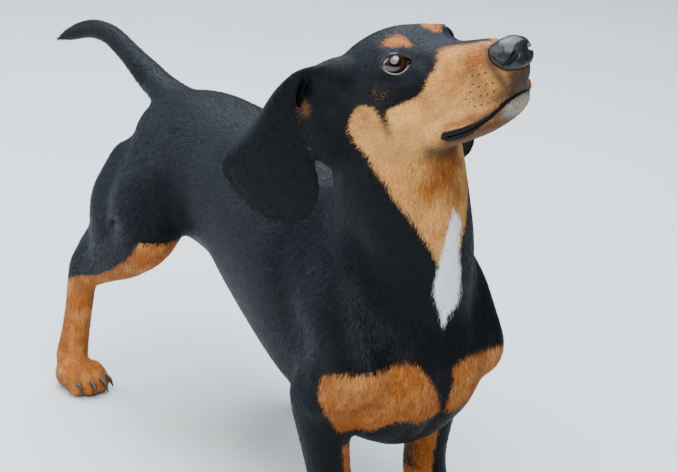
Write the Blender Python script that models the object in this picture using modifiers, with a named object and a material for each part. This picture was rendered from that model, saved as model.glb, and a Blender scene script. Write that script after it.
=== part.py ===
"""A standing smooth-haired dachshund at life size, head raised and turned a little to its left.

It faces -Y, its left side is +X and its paws stand on z = 0. Sizes are in metres.
The body is grown whole from lofted forms, then parted with thin cuts where a person names its parts.
"""
import math

import bmesh
import bpy
import numpy as np
from mathutils import Matrix, Vector

UP = Vector((0, 0, 1))
FORWARD = Vector((0, -1, 0))
RING_SIDES = 28
RING_STEP = 0.006
DOME_ANGLES = (80, 60, 40, 20)
FLOOR_REACH = 1.6
CUT_GAP = 0.0003
BODY_VOXEL = 0.0016
# Share of the fine skin's triangles that is kept.
BODY_KEPT = 0.0202
NOSE_KEPT = 0.028
# Toes of a paw: how far to the side and how far ahead of the pad's centre.
TOES = ((-0.0148, 0.019), (-0.0053, 0.026), (0.0053, 0.026), (0.0148, 0.019))

# The middle of the dog's own box on the floor, which is moved to the origin at the end.
STAND = Vector((-0.0120, 0.2639, 0.0))
# A point of the floor under the belly.
MIDDLE = Vector((0.0, 0.2, 0.0))

# Head pose: a point between the eyes and a little ahead of them, and how the head is turned.
HEAD_ORIGIN = Vector((-0.0235, 0.0285, 0.3795))
HEAD_TURN_LEFT = math.radians(8)
HEAD_PITCH_UP = math.radians(22)
HEAD_LEAN_RIGHT = math.radians(14)

# Torso sections: distance behind the breast, top, bottom, half width, height of the widest line, squareness.
TORSO = (
    (0.021, 0.166, 0.128, 0.018, 0.147, 2.15),
    (0.028, 0.188, 0.110, 0.037, 0.150, 2.15),
    (0.042, 0.212, 0.090, 0.051, 0.155, 2.15),
    (0.062, 0.234, 0.076, 0.060, 0.160, 2.15),
    (0.090, 0.252, 0.070, 0.066, 0.165, 2.15),
    (0.120, 0.260, 0.071, 0.069, 0.170, 2.15),
    (0.160, 0.263, 0.083, 0.070, 0.178, 2.15),
    (0.200, 0.265, 0.102, 0.067, 0.188, 2.15),
    (0.240, 0.267, 0.122, 0.062, 0.198, 2.15),
    (0.280, 0.269, 0.141, 0.055, 0.207, 2.15),
    (0.320, 0.270, 0.147, 0.053, 0.210, 2.15),
    (0.360, 0.269, 0.152, 0.052, 0.215, 2.15),
    (0.395, 0.262, 0.162, 0.048, 0.215, 2.15),
    (0.422, 0.249, 0.182, 0.033, 0.215, 2.15),
    (0.434, 0.236, 0.200, 0.016, 0.218, 2.15),
)

# Neck sections from the breast to the skull: centre x, y, z, half width, depth in front, depth behind.
NECK = (
    (0.000, 0.092, 0.150, 0.046, 0.054, 0.045),
    (0.000, 0.086, 0.172, 0.052, 0.060, 0.053),
    (0.000, 0.080, 0.198, 0.0555, 0.057, 0.060),
    (-0.004, 0.073, 0.235, 0.0485, 0.056, 0.057),
    (-0.010, 0.069, 0.265, 0.0450, 0.056, 0.051),
    (-0.016, 0.068, 0.295, 0.0440, 0.054, 0.048),
    (-0.021, 0.070, 0.320, 0.0435, 0.048, 0.045),
    (-0.024, 0.078, 0.342, 0.0380, 0.032, 0.030),
)

# Skull and upper muzzle: distance ahead of the eyes, top, bottom, half width, widest height, squareness.
SKULL = (
    (-0.086, -0.002, -0.030, 0.014, -0.014, 2.1),
    (-0.076, 0.0090, -0.045, 0.029, -0.016, 2.1),
    (-0.058, 0.0168, -0.052, 0.039, -0.018, 2.1),
    (-0.040, 0.0202, -0.056, 0.0425, -0.022, 2.1),
    (-0.020, 0.0186, -0.056, 0.0425, -0.025, 2.1),
    (-0.005, 0.0128, -0.055, 0.0385, -0.027, 2.15),
    (0.010, 0.0038, -0.055, 0.0325, -0.030, 2.2),
    (0.025, -0.0016, -0.056, 0.0280, -0.034, 2.4),
    (0.043, -0.0042, -0.0548, 0.0232, -0.036, 2.6),
    (0.055, -0.0052, -0.0515, 0.0205, -0.035, 2.6),
    (0.0610, -0.0066, -0.0485, 0.0172, -0.034, 2.5),
    (0.0655, -0.0092, -0.0458, 0.0144, -0.033, 2.3),
    (0.0708, -0.0130, -0.0430, 0.0126, -0.031, 2.2),
    (0.0758, -0.0170, -0.0392, 0.0102, -0.029, 2.1),
    (0.0800, -0.0205, -0.0352, 0.0078, -0.028, 2.1),
    (0.0828, -0.0235, -0.0315, 0.0046, -0.027, 2.1),
)
JAW = (
    (-0.055, -0.030, -0.0610, 0.028, -0.045, 2.1),
    (-0.030, -0.030, -0.0665, 0.034, -0.048, 2.1),
    (0.000, -0.034, -0.0675, 0.0325, -0.052, 2.1),
    (0.030, -0.040, -0.0660, 0.0268, -0.055, 2.15),
    (0.048, -0.042, -0.0624, 0.0200, -0.053, 2.15),
    (0.0590, -0.043, -0.0585, 0.0155, -0.051, 2.1),
    (0.0668, -0.044, -0.0540, 0.0085, -0.050, 2.1),
)
NOSE = (
    (0.0610, -0.0105, -0.0240, 0.0080, -0.0170, 2.4),
    (0.0670, -0.0080, -0.0265, 0.0118, -0.0175, 2.4),
    (0.0745, -0.0072, -0.0288, 0.0130, -0.0182, 2.5),
    (0.0800, -0.0090, -0.0295, 0.0124, -0.0190, 2.5),
    (0.0842, -0.0128, -0.0288, 0.0098, -0.0195, 2.4),
    (0.0860, -0.0168, -0.0260, 0.0050, -0.0205, 2.2),
)

# The nostril on the left, from its front to the end of its slit: ahead, out, up, half width, half height.
NOSTRIL = (
    (0.0895, 0.0060, -0.0180, 0.0030, 0.0026),
    (0.0848, 0.0074, -0.0188, 0.0030, 0.0027),
    (0.0800, 0.0106, -0.0214, 0.0021, 0.0022),
    (0.0745, 0.0138, -0.0224, 0.0010, 0.0012),
)

# The line of the mouth on the left, from its corner to the middle: ahead, out, up of the head.
MOUTH = (
    (0.0185, 0.0284, -0.0560),
    (0.0320, 0.0252, -0.0562),
    (0.0435, 0.0226, -0.0545),
    (0.0535, 0.0200, -0.0518),
    (0.0600, 0.0166, -0.0485),
    (0.0645, 0.0116, -0.0462),
    (0.0668, 0.0058, -0.0450),
    (0.0676, 0.0000, -0.0448),
)

# Bones of the face on the left, in the same numbers, and the furrow between neck and shoulder.
BROW = ((0.006, 0.020, 0.0125), (-0.006, 0.0215, 0.0175), (-0.016, 0.025, 0.014))
CHEEKBONE = ((0.004, 0.031, -0.015), (-0.018, 0.040, -0.016), (-0.040, 0.043, -0.010))
NECK_FURROW = ((0.046, 0.062, 0.242), (0.044, 0.036, 0.205), (0.036, 0.024, 0.170))

EYE_RADIUS = 0.0100
LID_THICKNESS = 0.0021
EYE_SIDES = 18
EYE_CENTRE = (-0.0078, 0.0224, -0.0014)
EYE_AXIS = (0.775, 0.625, 0.09)

# Joints of the legs, right then left: shoulder, elbow, wrist and foot; hip, stifle, hock and heel.
FRONT_LEGS = {
    -1: ((-0.0545, 0.052, 0.150), (-0.0595, 0.092, 0.118), (-0.0495, 0.084, 0.042), (-0.0505, 0.078, 0.022)),
    1: ((0.0510, 0.055, 0.150), (0.0535, 0.102, 0.118), (0.0405, 0.096, 0.042), (0.0405, 0.090, 0.022)),
}
HIND_LEGS = {
    -1: ((-0.040, 0.378, 0.212), (-0.058, 0.346, 0.158), (-0.070, 0.441, 0.103), (-0.079, 0.450, 0.024)),
    1: ((0.040, 0.370, 0.212), (0.060, 0.290, 0.158), (0.066, 0.345, 0.090), (0.070, 0.312, 0.024)),
}

# Each ear as rows of front edge, middle and rear edge, from the root in the skull to the tip.
EAR_THICKNESS = 0.0028
EAR_ROOT_UP = {-1: 0.0025, 1: -0.0080}
EAR_RIGHT = (
    ((-0.054, 0.068, 0.358), (-0.058, 0.080, 0.356), (-0.036, 0.096, 0.338)),
    ((-0.068, 0.0735, 0.3610), (-0.071, 0.085, 0.3570), (-0.040, 0.103, 0.335)),
    ((-0.0775, 0.0830, 0.3570), (-0.0815, 0.0945, 0.3520), (-0.043, 0.110, 0.328)),
    ((-0.0818, 0.0905, 0.3430), (-0.0890, 0.1055, 0.3400), (-0.049, 0.116, 0.319)),
    ((-0.0812, 0.0905, 0.3290), (-0.0950, 0.1110, 0.3290), (-0.066, 0.125, 0.311)),
    ((-0.0787, 0.0862, 0.3160), (-0.0990, 0.1120, 0.3150), (-0.0930, 0.134, 0.303)),
    ((-0.0755, 0.0805, 0.3010), (-0.0980, 0.1090, 0.2990), (-0.1100, 0.1410, 0.2890)),
    ((-0.0728, 0.0765, 0.2860), (-0.0950, 0.1060, 0.2820), (-0.1118, 0.1430, 0.2760)),
    ((-0.0722, 0.0752, 0.2720), (-0.0915, 0.1035, 0.2650), (-0.1065, 0.1345, 0.2625)),
    ((-0.0745, 0.0790, 0.2590), (-0.0885, 0.1010, 0.2520), (-0.0990, 0.1215, 0.2525)),
    ((-0.0790, 0.0865, 0.2490), (-0.0868, 0.0990, 0.2455), (-0.0930, 0.1105, 0.2475)),
)
EAR_LEFT = (
    ((-0.002, 0.084, 0.366), (0.001, 0.096, 0.364), (-0.018, 0.108, 0.346)),
    ((0.014, 0.084, 0.3690), (0.017, 0.097, 0.3650), (-0.010, 0.114, 0.342)),
    ((0.0260, 0.0835, 0.3630), (0.0300, 0.0980, 0.3580), (-0.004, 0.121, 0.336)),
    ((0.0330, 0.0820, 0.3500), (0.0400, 0.1020, 0.3470), (0.004, 0.128, 0.328)),
    ((0.0390, 0.0790, 0.3360), (0.0490, 0.1030, 0.3350), (0.022, 0.137, 0.320)),
    ((0.0440, 0.0745, 0.3220), (0.0550, 0.1020, 0.3210), (0.0460, 0.1410, 0.3110)),
    ((0.0485, 0.0710, 0.3080), (0.0590, 0.1010, 0.3060), (0.0610, 0.1400, 0.2970)),
    ((0.0525, 0.0690, 0.2960), (0.0615, 0.1000, 0.2920), (0.0670, 0.1360, 0.2830)),
    ((0.0545, 0.0750, 0.2860), (0.0625, 0.1020, 0.2800), (0.0680, 0.1300, 0.2710)),
    ((0.0565, 0.0860, 0.2770), (0.0630, 0.1060, 0.2700), (0.0675, 0.1240, 0.2640)),
    ((0.0590, 0.0980, 0.2680), (0.0635, 0.1090, 0.2630), (0.0665, 0.1180, 0.2600)),
)


def head_axes():
    """Forward, left and up of the head, as unit vectors."""
    turn, pitch, lean = HEAD_TURN_LEFT, HEAD_PITCH_UP, HEAD_LEAN_RIGHT
    forward = Vector((math.sin(turn) * math.cos(pitch), -math.cos(turn) * math.cos(pitch), math.sin(pitch)))
    level = Vector((math.cos(turn), math.sin(turn), 0))
    upright = level.cross(forward)
    if upright.z < 0:
        upright.negate()
    left = level * math.cos(lean) + upright * math.sin(lean)
    up = upright * math.cos(lean) - level * math.sin(lean)
    return forward, left, up


HEAD_FORWARD, HEAD_LEFT, HEAD_UP = head_axes()


def at_head(ahead, left, up):
    """A point of the head in the dog's own frame."""
    return HEAD_ORIGIN + HEAD_FORWARD * ahead + HEAD_LEFT * left + HEAD_UP * up


def through(rows, step=RING_STEP):
    """Rows of numbers read from a smooth curve through the given rows, about one step apart."""
    rows = np.array(rows, float)
    padded = np.vstack([2 * rows[0] - rows[1], rows, 2 * rows[-1] - rows[-2]])
    found = []
    for i in range(1, len(padded) - 2):
        a, b, c, d = padded[i - 1 : i + 3]
        count = max(1, round(np.linalg.norm((c - b)[:3]) / step))
        for t in np.arange(count) / count:
            bend = (2 * a - 5 * b + 4 * c - d) * t**2 + (3 * b - a - 3 * c + d) * t**3
            found.append(0.5 * (2 * b + (c - a) * t + bend))
    found.append(rows[-1])
    return np.array(found)


def ring(centre, side, up, half_width, above, below, square=2.0, sides=RING_SIDES):
    """A closed ring of points, wider or taller on either side of its centre line."""
    points = []
    for k in range(sides):
        angle = 2 * math.pi * k / sides
        c, s = math.cos(angle), math.sin(angle)
        across = math.copysign(abs(c) ** (2 / square), c) * half_width
        rise = math.copysign(abs(s) ** (2 / square), s) * (above if s > 0 else below)
        points.append(centre + side * across + up * rise)
    return points


def loft(name, rings):
    """A closed mesh through rings of equal counts, its two ends drawn to a point."""
    mesh = bmesh.new()
    rows = [[mesh.verts.new(p) for p in points] for points in rings]
    for low, high in zip(rows, rows[1:]):
        for k in range(len(low)):
            n = (k + 1) % len(low)
            mesh.faces.new((low[k], low[n], high[n], high[k]))
    for row in (rows[0], rows[-1]):
        tip = mesh.verts.new(sum((v.co for v in row), Vector()) / len(row))
        for k in range(len(row)):
            mesh.faces.new((row[k], row[(k + 1) % len(row)], tip))
    bmesh.ops.recalc_face_normals(mesh, faces=mesh.faces)
    data = bpy.data.meshes.new(name)
    mesh.to_mesh(data)
    mesh.free()
    made = bpy.data.objects.new(name, data)
    bpy.context.scene.collection.objects.link(made)
    return made


def rounded(rows, ends=(1.0, 1.0), domes=DOME_ANGLES):
    """Rows of a limb with shrinking rows added at each end, so that the loft closes like a dome."""
    rows = [np.array(r, float) for r in rows]
    out = []
    first = (rows[0][:3] - rows[1][:3]) / np.linalg.norm(rows[0][:3] - rows[1][:3])
    last = (rows[-1][:3] - rows[-2][:3]) / np.linalg.norm(rows[-1][:3] - rows[-2][:3])
    for angle in domes:
        a = math.radians(angle)
        row = rows[0].copy()
        row[:3] += first * math.sin(a) * rows[0][3:6].mean() * ends[0]
        row[3:6] *= math.cos(a)
        out.append(row)
    out += rows
    for angle in domes[::-1]:
        a = math.radians(angle)
        row = rows[-1].copy()
        row[:3] += last * math.sin(a) * rows[-1][3:6].mean() * ends[1]
        row[3:6] *= math.cos(a)
        out.append(row)
    return np.array(out)


def limb(name, stations, front, ends=(1.0, 1.0), sides=RING_SIDES, step=RING_STEP, domes=DOME_ANGLES):
    """A loft along a bent path. A station is x, y, z, half width, depth towards front, depth away from it."""
    rows = rounded(through(stations, step), ends, domes)
    rings = []
    for i, row in enumerate(rows):
        low, high = rows[max(i - 1, 0)], rows[min(i + 1, len(rows) - 1)]
        along = Vector(high[:3] - low[:3]).normalized()
        up = (front - along * front.dot(along)).normalized()
        rings.append(ring(Vector(row[:3]), along.cross(up), up, row[3], row[4], row[5], sides=sides))
    return loft(name, rings)


def trunk(name, stations, origin, along, up, grow=0.0):
    """A loft along a straight axis, its sections given as in the tables of the torso and the skull."""
    side = along.cross(up)
    rings = []
    for d, top, bottom, wide, widest, square in through(stations):
        centre = origin + along * d + up * widest
        rings.append(ring(centre, side, up, wide + grow, top - widest + grow, widest - bottom + grow, square))
    return loft(name, rings)


def bulge(name, centre, radii, turn=None, sides=24):
    """A muscle or bone under the skin, as an ellipsoid."""
    mesh = bmesh.new()
    bmesh.ops.create_uvsphere(mesh, u_segments=sides, v_segments=sides * 2 // 3, radius=1)
    matrix = Matrix.Translation(centre) @ (turn or Matrix()).to_4x4() @ Matrix.Diagonal((*radii, 1))
    bmesh.ops.transform(mesh, matrix=matrix, verts=mesh.verts)
    data = bpy.data.meshes.new(name)
    mesh.to_mesh(data)
    mesh.free()
    made = bpy.data.objects.new(name, data)
    bpy.context.scene.collection.objects.link(made)
    return made


def mix(a, b, share):
    return Vector(a).lerp(Vector(b), share)


def front_leg(side, shoulder, elbow, wrist, foot):
    """Shoulder blade, upper arm, forearm and pastern of one front leg. side is -1 for the right one."""
    blade_top = Vector((side * 0.034, 0.124, 0.236))
    blade = mix(blade_top, shoulder, 0.5) + Vector((side * 0.007, 0.002, 0.0))
    return [
        limb("shoulder_blade", [
            (*blade_top, 0.012, 0.026, 0.030),
            (*blade, 0.018, 0.034, 0.038),
            (*shoulder, 0.0195, 0.026, 0.034),
        ], FORWARD),
        limb("upper_arm", [
            (*shoulder, 0.0195, 0.024, 0.030),
            (*mix(shoulder, elbow, 0.5), 0.0205, 0.030, 0.032),
            (*elbow, 0.019, 0.024, 0.022),
        ], FORWARD),
        limb("forearm", [
            (*mix(shoulder, elbow, 0.8), 0.0205, 0.028, 0.026),
            (*elbow, 0.0205, 0.025, 0.022),
            (*mix(elbow, wrist, 0.4), 0.0190, 0.022, 0.019),
            (*mix(elbow, wrist, 0.75), 0.0170, 0.0180, 0.0165),
            (*wrist, 0.0172, 0.0170, 0.0168),
            (*foot, 0.0170, 0.0165, 0.0155),
        ], FORWARD),
    ]


def hind_leg(side, hip, stifle, hock, heel):
    """Thigh, shank, tendon and long foot bone of one hind leg."""
    seat = Vector((side * 0.040, 0.416, 0.200))
    calf = mix(stifle, hock, 0.42)
    return [
        limb("thigh", [
            (*hip, 0.018, 0.036, 0.030),
            (*mix(hip, stifle, 0.3), 0.026, 0.047, 0.046),
            (*mix(hip, stifle, 0.6), 0.027, 0.041, 0.052),
            (*mix(hip, stifle, 0.9), 0.024, 0.029, 0.050),
            (*mix(stifle, hock, 0.12), 0.021, 0.026, 0.034),
        ], FORWARD),
        limb("ham", [
            (*seat, 0.018, 0.024, 0.022),
            (*(mix(seat, calf, 0.4) + Vector((side * 0.004, 0.004, 0))), 0.022, 0.034, 0.032),
            (*(mix(seat, calf, 0.8) + Vector((side * 0.003, 0.008, 0))), 0.019, 0.030, 0.030),
            (*mix(stifle, hock, 0.62), 0.014, 0.022, 0.020),
        ], FORWARD),
        limb("shank", [
            (*mix(hip, stifle, 0.85), 0.021, 0.026, 0.026),
            (*mix(stifle, hock, 0.25), 0.0205, 0.026, 0.026),
            (*mix(stifle, hock, 0.6), 0.0165, 0.022, 0.019),
            (*mix(stifle, hock, 0.85), 0.0135, 0.019, 0.0150),
            (*hock, 0.0130, 0.0185, 0.0145),
        ], FORWARD),
        limb("tendon", [
            (*(mix(stifle, hock, 0.45) + Vector((0, 0.022, 0.022))), 0.0110, 0.014, 0.012),
            (*(mix(stifle, hock, 0.8) + Vector((0, 0.016, 0.016))), 0.0085, 0.012, 0.0080),
            (*(hock + Vector((0, 0.009, 0.010))), 0.0080, 0.010, 0.0065),
        ], FORWARD),
        limb("long_foot", [
            (*(hock + Vector((0, 0.003, 0.003))), 0.0130, 0.0165, 0.0145),
            (*mix(hock, heel, 0.5), 0.0125, 0.0145, 0.0130),
            (*heel, 0.0140, 0.0155, 0.0125),
        ], FORWARD),
    ]


def paw(side, centre, out_turn, size):
    """The pad of a foot with four toes, turned out by some degrees."""
    turn = Matrix.Rotation(math.radians(-side * out_turn), 3, "Z")
    forms = [bulge("pad", centre + Vector((0, 0, -0.001)), Vector((0.0195, 0.023, 0.0160)) * size, turn)]
    for k, (across, ahead) in enumerate(TOES):
        knuckle = centre + turn @ Vector((across * 0.85, -ahead * 0.45, 0.004)) * size
        tip = centre + turn @ Vector((across * 1.05, -ahead, -0.0060)) * size
        forms.append(limb(f"toe_{k}", [
            (*knuckle, 0.0080 * size, 0.0088 * size, 0.0088 * size),
            (*mix(knuckle, tip, 0.5), 0.0082 * size, 0.0092 * size, 0.0090 * size),
            (*tip, 0.0070 * size, 0.0080 * size, 0.0080 * size),
        ], UP))
    return forms


def tail():
    return [limb("tail", [
        (0.000, 0.372, 0.246, 0.023, 0.018, 0.022),
        (0.000, 0.400, 0.248, 0.0190, 0.0155, 0.0190),
        (-0.002, 0.435, 0.257, 0.0145, 0.0125, 0.0145),
        (-0.004, 0.480, 0.272, 0.0110, 0.0100, 0.0110),
        (-0.006, 0.515, 0.283, 0.0100, 0.0095, 0.0100),
        (-0.010, 0.545, 0.283, 0.0095, 0.0090, 0.0095),
        (-0.016, 0.572, 0.274, 0.0075, 0.0070, 0.0080),
        (-0.021, 0.588, 0.266, 0.0035, 0.0035, 0.0040),
    ], UP)]


def eye_frame(side):
    """The centre of an eyeball, its outward axis, the way along its slit towards the nose, and its up."""
    ahead, out, up = EYE_CENTRE
    centre = at_head(ahead, side * out, up)
    axis = (HEAD_FORWARD * EYE_AXIS[0] + HEAD_LEFT * side * EYE_AXIS[1] + HEAD_UP * EYE_AXIS[2]).normalized()
    along = (HEAD_FORWARD - axis * HEAD_FORWARD.dot(axis)).normalized()
    up = along.cross(axis)
    if up.dot(HEAD_UP) < 0:
        up.negate()
    return centre, axis, along, up


def head_forms():
    forms = [
        trunk("skull", SKULL, HEAD_ORIGIN, HEAD_FORWARD, HEAD_UP),
        trunk("jaw", JAW, HEAD_ORIGIN, HEAD_FORWARD, HEAD_UP),
    ]
    turn = Matrix((HEAD_FORWARD, HEAD_LEFT, HEAD_UP)).transposed()
    for side in (-1, 1):
        centre = eye_frame(side)[0]
        lids = EYE_RADIUS + LID_THICKNESS
        forms.append(bulge("lids", centre, (lids, lids, lids)))
        root_up = EAR_ROOT_UP[side]
        forms.append(bulge("ear_root", at_head(-0.058, side * 0.033, root_up), (0.022, 0.013, 0.015), turn))
        forms.append(bulge("ear_muscle", at_head(-0.076, side * 0.033, -0.030), (0.026, 0.024, 0.034), turn))
        forms.append(bulge("cheek", at_head(-0.024, side * 0.0325, -0.037), (0.030, 0.0115, 0.022), turn))
        forms.append(bulge("flew", at_head(0.040, side * 0.0170, -0.0435), (0.024, 0.0060, 0.0105), turn))
    return forms


def body_forms():
    forms = [trunk("chest_and_loin", TORSO, Vector(), -FORWARD, UP)]
    forms.append(limb("neck", NECK, FORWARD, ends=(0.3, 0.5)))
    forms += head_forms()
    forms += tail()
    for side, joints in FRONT_LEGS.items():
        forms += front_leg(side, *map(Vector, joints))
    for side, joints in HIND_LEGS.items():
        forms += hind_leg(side, *map(Vector, joints))
    for side, centre, out_turn, size in PAWS.values():
        forms += paw(side, centre, out_turn, size)
    return forms


def applied(name, made):
    """The object's shape with its modifiers worked in, as a new object."""
    bpy.context.view_layer.update()
    graph = bpy.context.evaluated_depsgraph_get()
    data = bpy.data.meshes.new_from_object(made.evaluated_get(graph))
    bpy.data.objects.remove(made)
    done = bpy.data.objects.new(name, data)
    bpy.context.scene.collection.objects.link(done)
    return done


def fuse(name, forms, voxel):
    """The forms as one closed skin, rebuilt on a fine grid."""
    bpy.context.view_layer.update()
    bpy.ops.object.select_all(action="DESELECT")
    for form in forms:
        form.select_set(True)
    bpy.context.view_layer.objects.active = forms[0]
    bpy.ops.object.join()
    body = bpy.context.view_layer.objects.active
    grid = body.modifiers.new("Skin", "REMESH")
    grid.mode = "VOXEL"
    grid.voxel_size = voxel
    return applied(name, body)


def faced_out(made):
    mesh = bmesh.new()
    mesh.from_mesh(made.data)
    bmesh.ops.recalc_face_normals(mesh, faces=mesh.faces)
    mesh.to_mesh(made.data)
    mesh.free()
    return made


def points_of(made):
    flat = np.empty(len(made.data.vertices) * 3)
    made.data.vertices.foreach_get("co", flat)
    return flat.reshape(-1, 3)


def put_points(made, points):
    made.data.vertices.foreach_set("co", points.reshape(-1))
    made.data.update()


def near_line(points, line, radius):
    """One on a bent line, falling to nothing about two radii away from it."""
    best = np.full(len(points), 1e9)
    for a, b in zip(line, line[1:]):
        a, b = np.array(a), np.array(b)
        way = b - a
        t = np.clip(((points - a) @ way) / (way @ way), 0, 1)
        gap = points - a - t[:, None] * way
        best = np.minimum(best, (gap**2).sum(1))
    return np.exp(-best / radius**2)


def soften(made, weights, rounds):
    """Smooths the skin where weights are near one and leaves it where they are near zero."""
    edges = np.empty(len(made.data.edges) * 2, int)
    made.data.edges.foreach_get("vertices", edges)
    a, b = edges.reshape(-1, 2).T
    points = points_of(made)
    count = np.bincount(a, minlength=len(points)) + np.bincount(b, minlength=len(points))
    pull = (0.6 * weights)[:, None]
    for _ in range(rounds):
        total = np.zeros_like(points)
        for axis in range(3):
            total[:, axis] = np.bincount(a, points[b, axis], len(points))
            total[:, axis] += np.bincount(b, points[a, axis], len(points))
        points += pull * (total / count[:, None] - points)
    put_points(made, points)


def normals_of(made):
    flat = np.empty(len(made.data.vertices) * 3)
    made.data.vertices.foreach_get("normal", flat)
    return flat.reshape(-1, 3)


def skin_weights(points):
    """How freely each part of the skin is smoothed: least on toes and face, most on the trunk."""
    weights = np.ones(len(points))
    weights -= 0.75 * np.clip((0.045 - points[:, 2]) / 0.02, 0, 1)
    ahead = (points - np.array(HEAD_ORIGIN)) @ np.array(HEAD_FORWARD)
    up = (points - np.array(HEAD_ORIGIN)) @ np.array(HEAD_UP)
    face = np.clip((ahead + 0.02) / 0.02, 0, 1) * np.clip((up + 0.085) / 0.02, 0, 1)
    weights -= 0.72 * face
    return np.clip(weights, 0.05, 1)


def leaf(name, rows, thickness, across=8, step=0.0085):
    """An ear: a bent sheet through rows of three points, given its thickness."""
    rows = np.array(rows, float).reshape(len(rows), 9)
    rows = through(rows, step)
    mesh = bmesh.new()
    grid = []
    for row in rows:
        front, middle, rear = row[:3], row[3:6], row[6:]
        line = []
        for t in np.linspace(0, 1, across):
            point = front * (1 - t) * (1 - 2 * t) + middle * 4 * t * (1 - t) + rear * t * (2 * t - 1)
            line.append(mesh.verts.new(point))
        grid.append(line)
    for low, high in zip(grid, grid[1:]):
        for k in range(across - 1):
            mesh.faces.new((low[k], low[k + 1], high[k + 1], high[k]))
    data = bpy.data.meshes.new(name)
    mesh.to_mesh(data)
    mesh.free()
    made = bpy.data.objects.new(name, data)
    bpy.context.scene.collection.objects.link(made)
    sheet = made.modifiers.new("Thickness", "SOLIDIFY")
    sheet.thickness = thickness
    sheet.offset = 0
    return faced_out(applied(name, made))


def swell(made, points_and_amounts):
    """Pushes the skin out, or in where the amount is below zero, round each listed point or line."""
    points, normals = points_of(made), normals_of(made)
    push = np.zeros(len(points))
    for line, radius, amount in points_and_amounts:
        push += amount * near_line(points, line, radius)
    put_points(made, points + normals * push[:, None])


def in_head(side, *spots):
    return [tuple(at_head(a, side * l, u)) for a, l, u in spots]


def modelling():
    """The muscles, hollows and folds that show under the skin, as places, reach and height."""
    found = []
    for side in (-1, 1):
        found += [
            (in_head(side, *BROW), 0.0065, 0.0017),
            (in_head(side, (0.016, 0.0205, -0.001), (0.026, 0.0195, -0.009)), 0.0080, -0.0013),
            (in_head(side, (-0.030, 0.024, 0.023), (-0.052, 0.020, 0.019)), 0.0120, 0.0010),
            (in_head(side, *CHEEKBONE), 0.0070, 0.0012),
            (in_head(side, (0.010, 0.034, -0.030), (0.026, 0.026, -0.040)), 0.0075, -0.0011),
            (in_head(side, (0.013, 0.033, -0.052), (0.004, 0.032, -0.058)), 0.0050, 0.0011),
            (in_head(side, *[(a, l, u + 0.0050) for a, l, u in MOUTH[:6]]), 0.0042, 0.0010),
            (in_head(side, *[(a, l, u - 0.0045) for a, l, u in MOUTH[:6]]), 0.0035, 0.0006),
            (in_head(side, (0.064, 0.016, -0.030), (0.074, 0.014, -0.033)), 0.0080, 0.0007),
            ([(side * x, y, z) for x, y, z in NECK_FURROW], 0.0120, -0.0035),
            ([(side * 0.050, 0.030, 0.165), (side * 0.048, 0.030, 0.135)], 0.0140, 0.0020),
            ([(side * 0.030, 0.022, 0.150), (side * 0.028, 0.030, 0.112)], 0.0140, 0.0020),
            ([(side * 0.076, 0.118, 0.170), (side * 0.070, 0.135, 0.215)], 0.0120, -0.0018),
            ([(side * 0.045, 0.300, 0.215), (side * 0.050, 0.310, 0.165)], 0.0140, -0.0022),
            ([(side * 0.066, 0.375, 0.215), (side * 0.074, 0.360, 0.170)], 0.0180, 0.0020),
        ]
    found.append((in_head(1, (-0.012, 0, 0.022), (0.012, 0, 0.012)), 0.0050, -0.0008))
    found.append(([(0, 0.020, 0.140), (0, 0.030, 0.105), (0, 0.050, 0.085)], 0.0070, -0.0022))
    found.append(([(0, 0.016, 0.190), (0, 0.020, 0.168)], 0.0110, -0.0020))
    found.append(([(0, 0.110, 0.262), (0, 0.250, 0.268), (0, 0.350, 0.270)], 0.0140, -0.0008))
    return found


def cut(made, cutter, operation="DIFFERENCE"):
    """The object less the cutter, or only what lies inside the cutter; its largest surface is kept."""
    act = made.modifiers.new("Cut", "BOOLEAN")
    act.operation = operation
    act.object = cutter
    before = len(made.data.polygons)
    for solver in ("MANIFOLD", "EXACT"):
        act.solver = solver
        bpy.context.view_layer.update()
        graph = bpy.context.evaluated_depsgraph_get()
        left = len(made.evaluated_get(graph).data.polygons)
        if left > 3 and left != before:
            break
    name = made.name
    done = largest(applied(name, made))
    done.name = name
    bpy.data.objects.remove(cutter)
    return done


def largest(made):
    """Keeps only the largest closed surface of a mesh."""
    mesh = bmesh.new()
    mesh.from_mesh(made.data)
    bmesh.ops.remove_doubles(mesh, verts=mesh.verts, dist=0.000002)
    seen, groups = set(), []
    for start in mesh.faces:
        if start in seen:
            continue
        group, todo = [], [start]
        seen.add(start)
        while todo:
            face = todo.pop()
            group.append(face)
            for edge in face.edges:
                for other in edge.link_faces:
                    if other not in seen:
                        seen.add(other)
                        todo.append(other)
        groups.append(group)
    groups.sort(key=lambda g: -sum(f.calc_area() for f in g))
    bmesh.ops.delete(mesh, geom=[f for g in groups[1:] for f in g], context="FACES")
    mesh.to_mesh(made.data)
    mesh.free()
    return made


def copy_of(made, name):
    twin = bpy.data.objects.new(name, made.data.copy())
    bpy.context.scene.collection.objects.link(twin)
    return twin


def slab(name, point, facing, reach=0.5):
    """A large block whose one face passes through the point, the block lying on the side it faces."""
    mesh = bmesh.new()
    bmesh.ops.create_cube(mesh, size=1)
    turn = facing.to_track_quat("Z", "Y").to_matrix().to_4x4()
    matrix = Matrix.Translation(point) @ turn @ Matrix.Translation((0, 0, reach / 2)) @ Matrix.Scale(reach, 4)
    bmesh.ops.transform(mesh, matrix=matrix, verts=mesh.verts)
    data = bpy.data.meshes.new(name)
    mesh.to_mesh(data)
    mesh.free()
    made = bpy.data.objects.new(name, data)
    bpy.context.scene.collection.objects.link(made)
    return made


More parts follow.
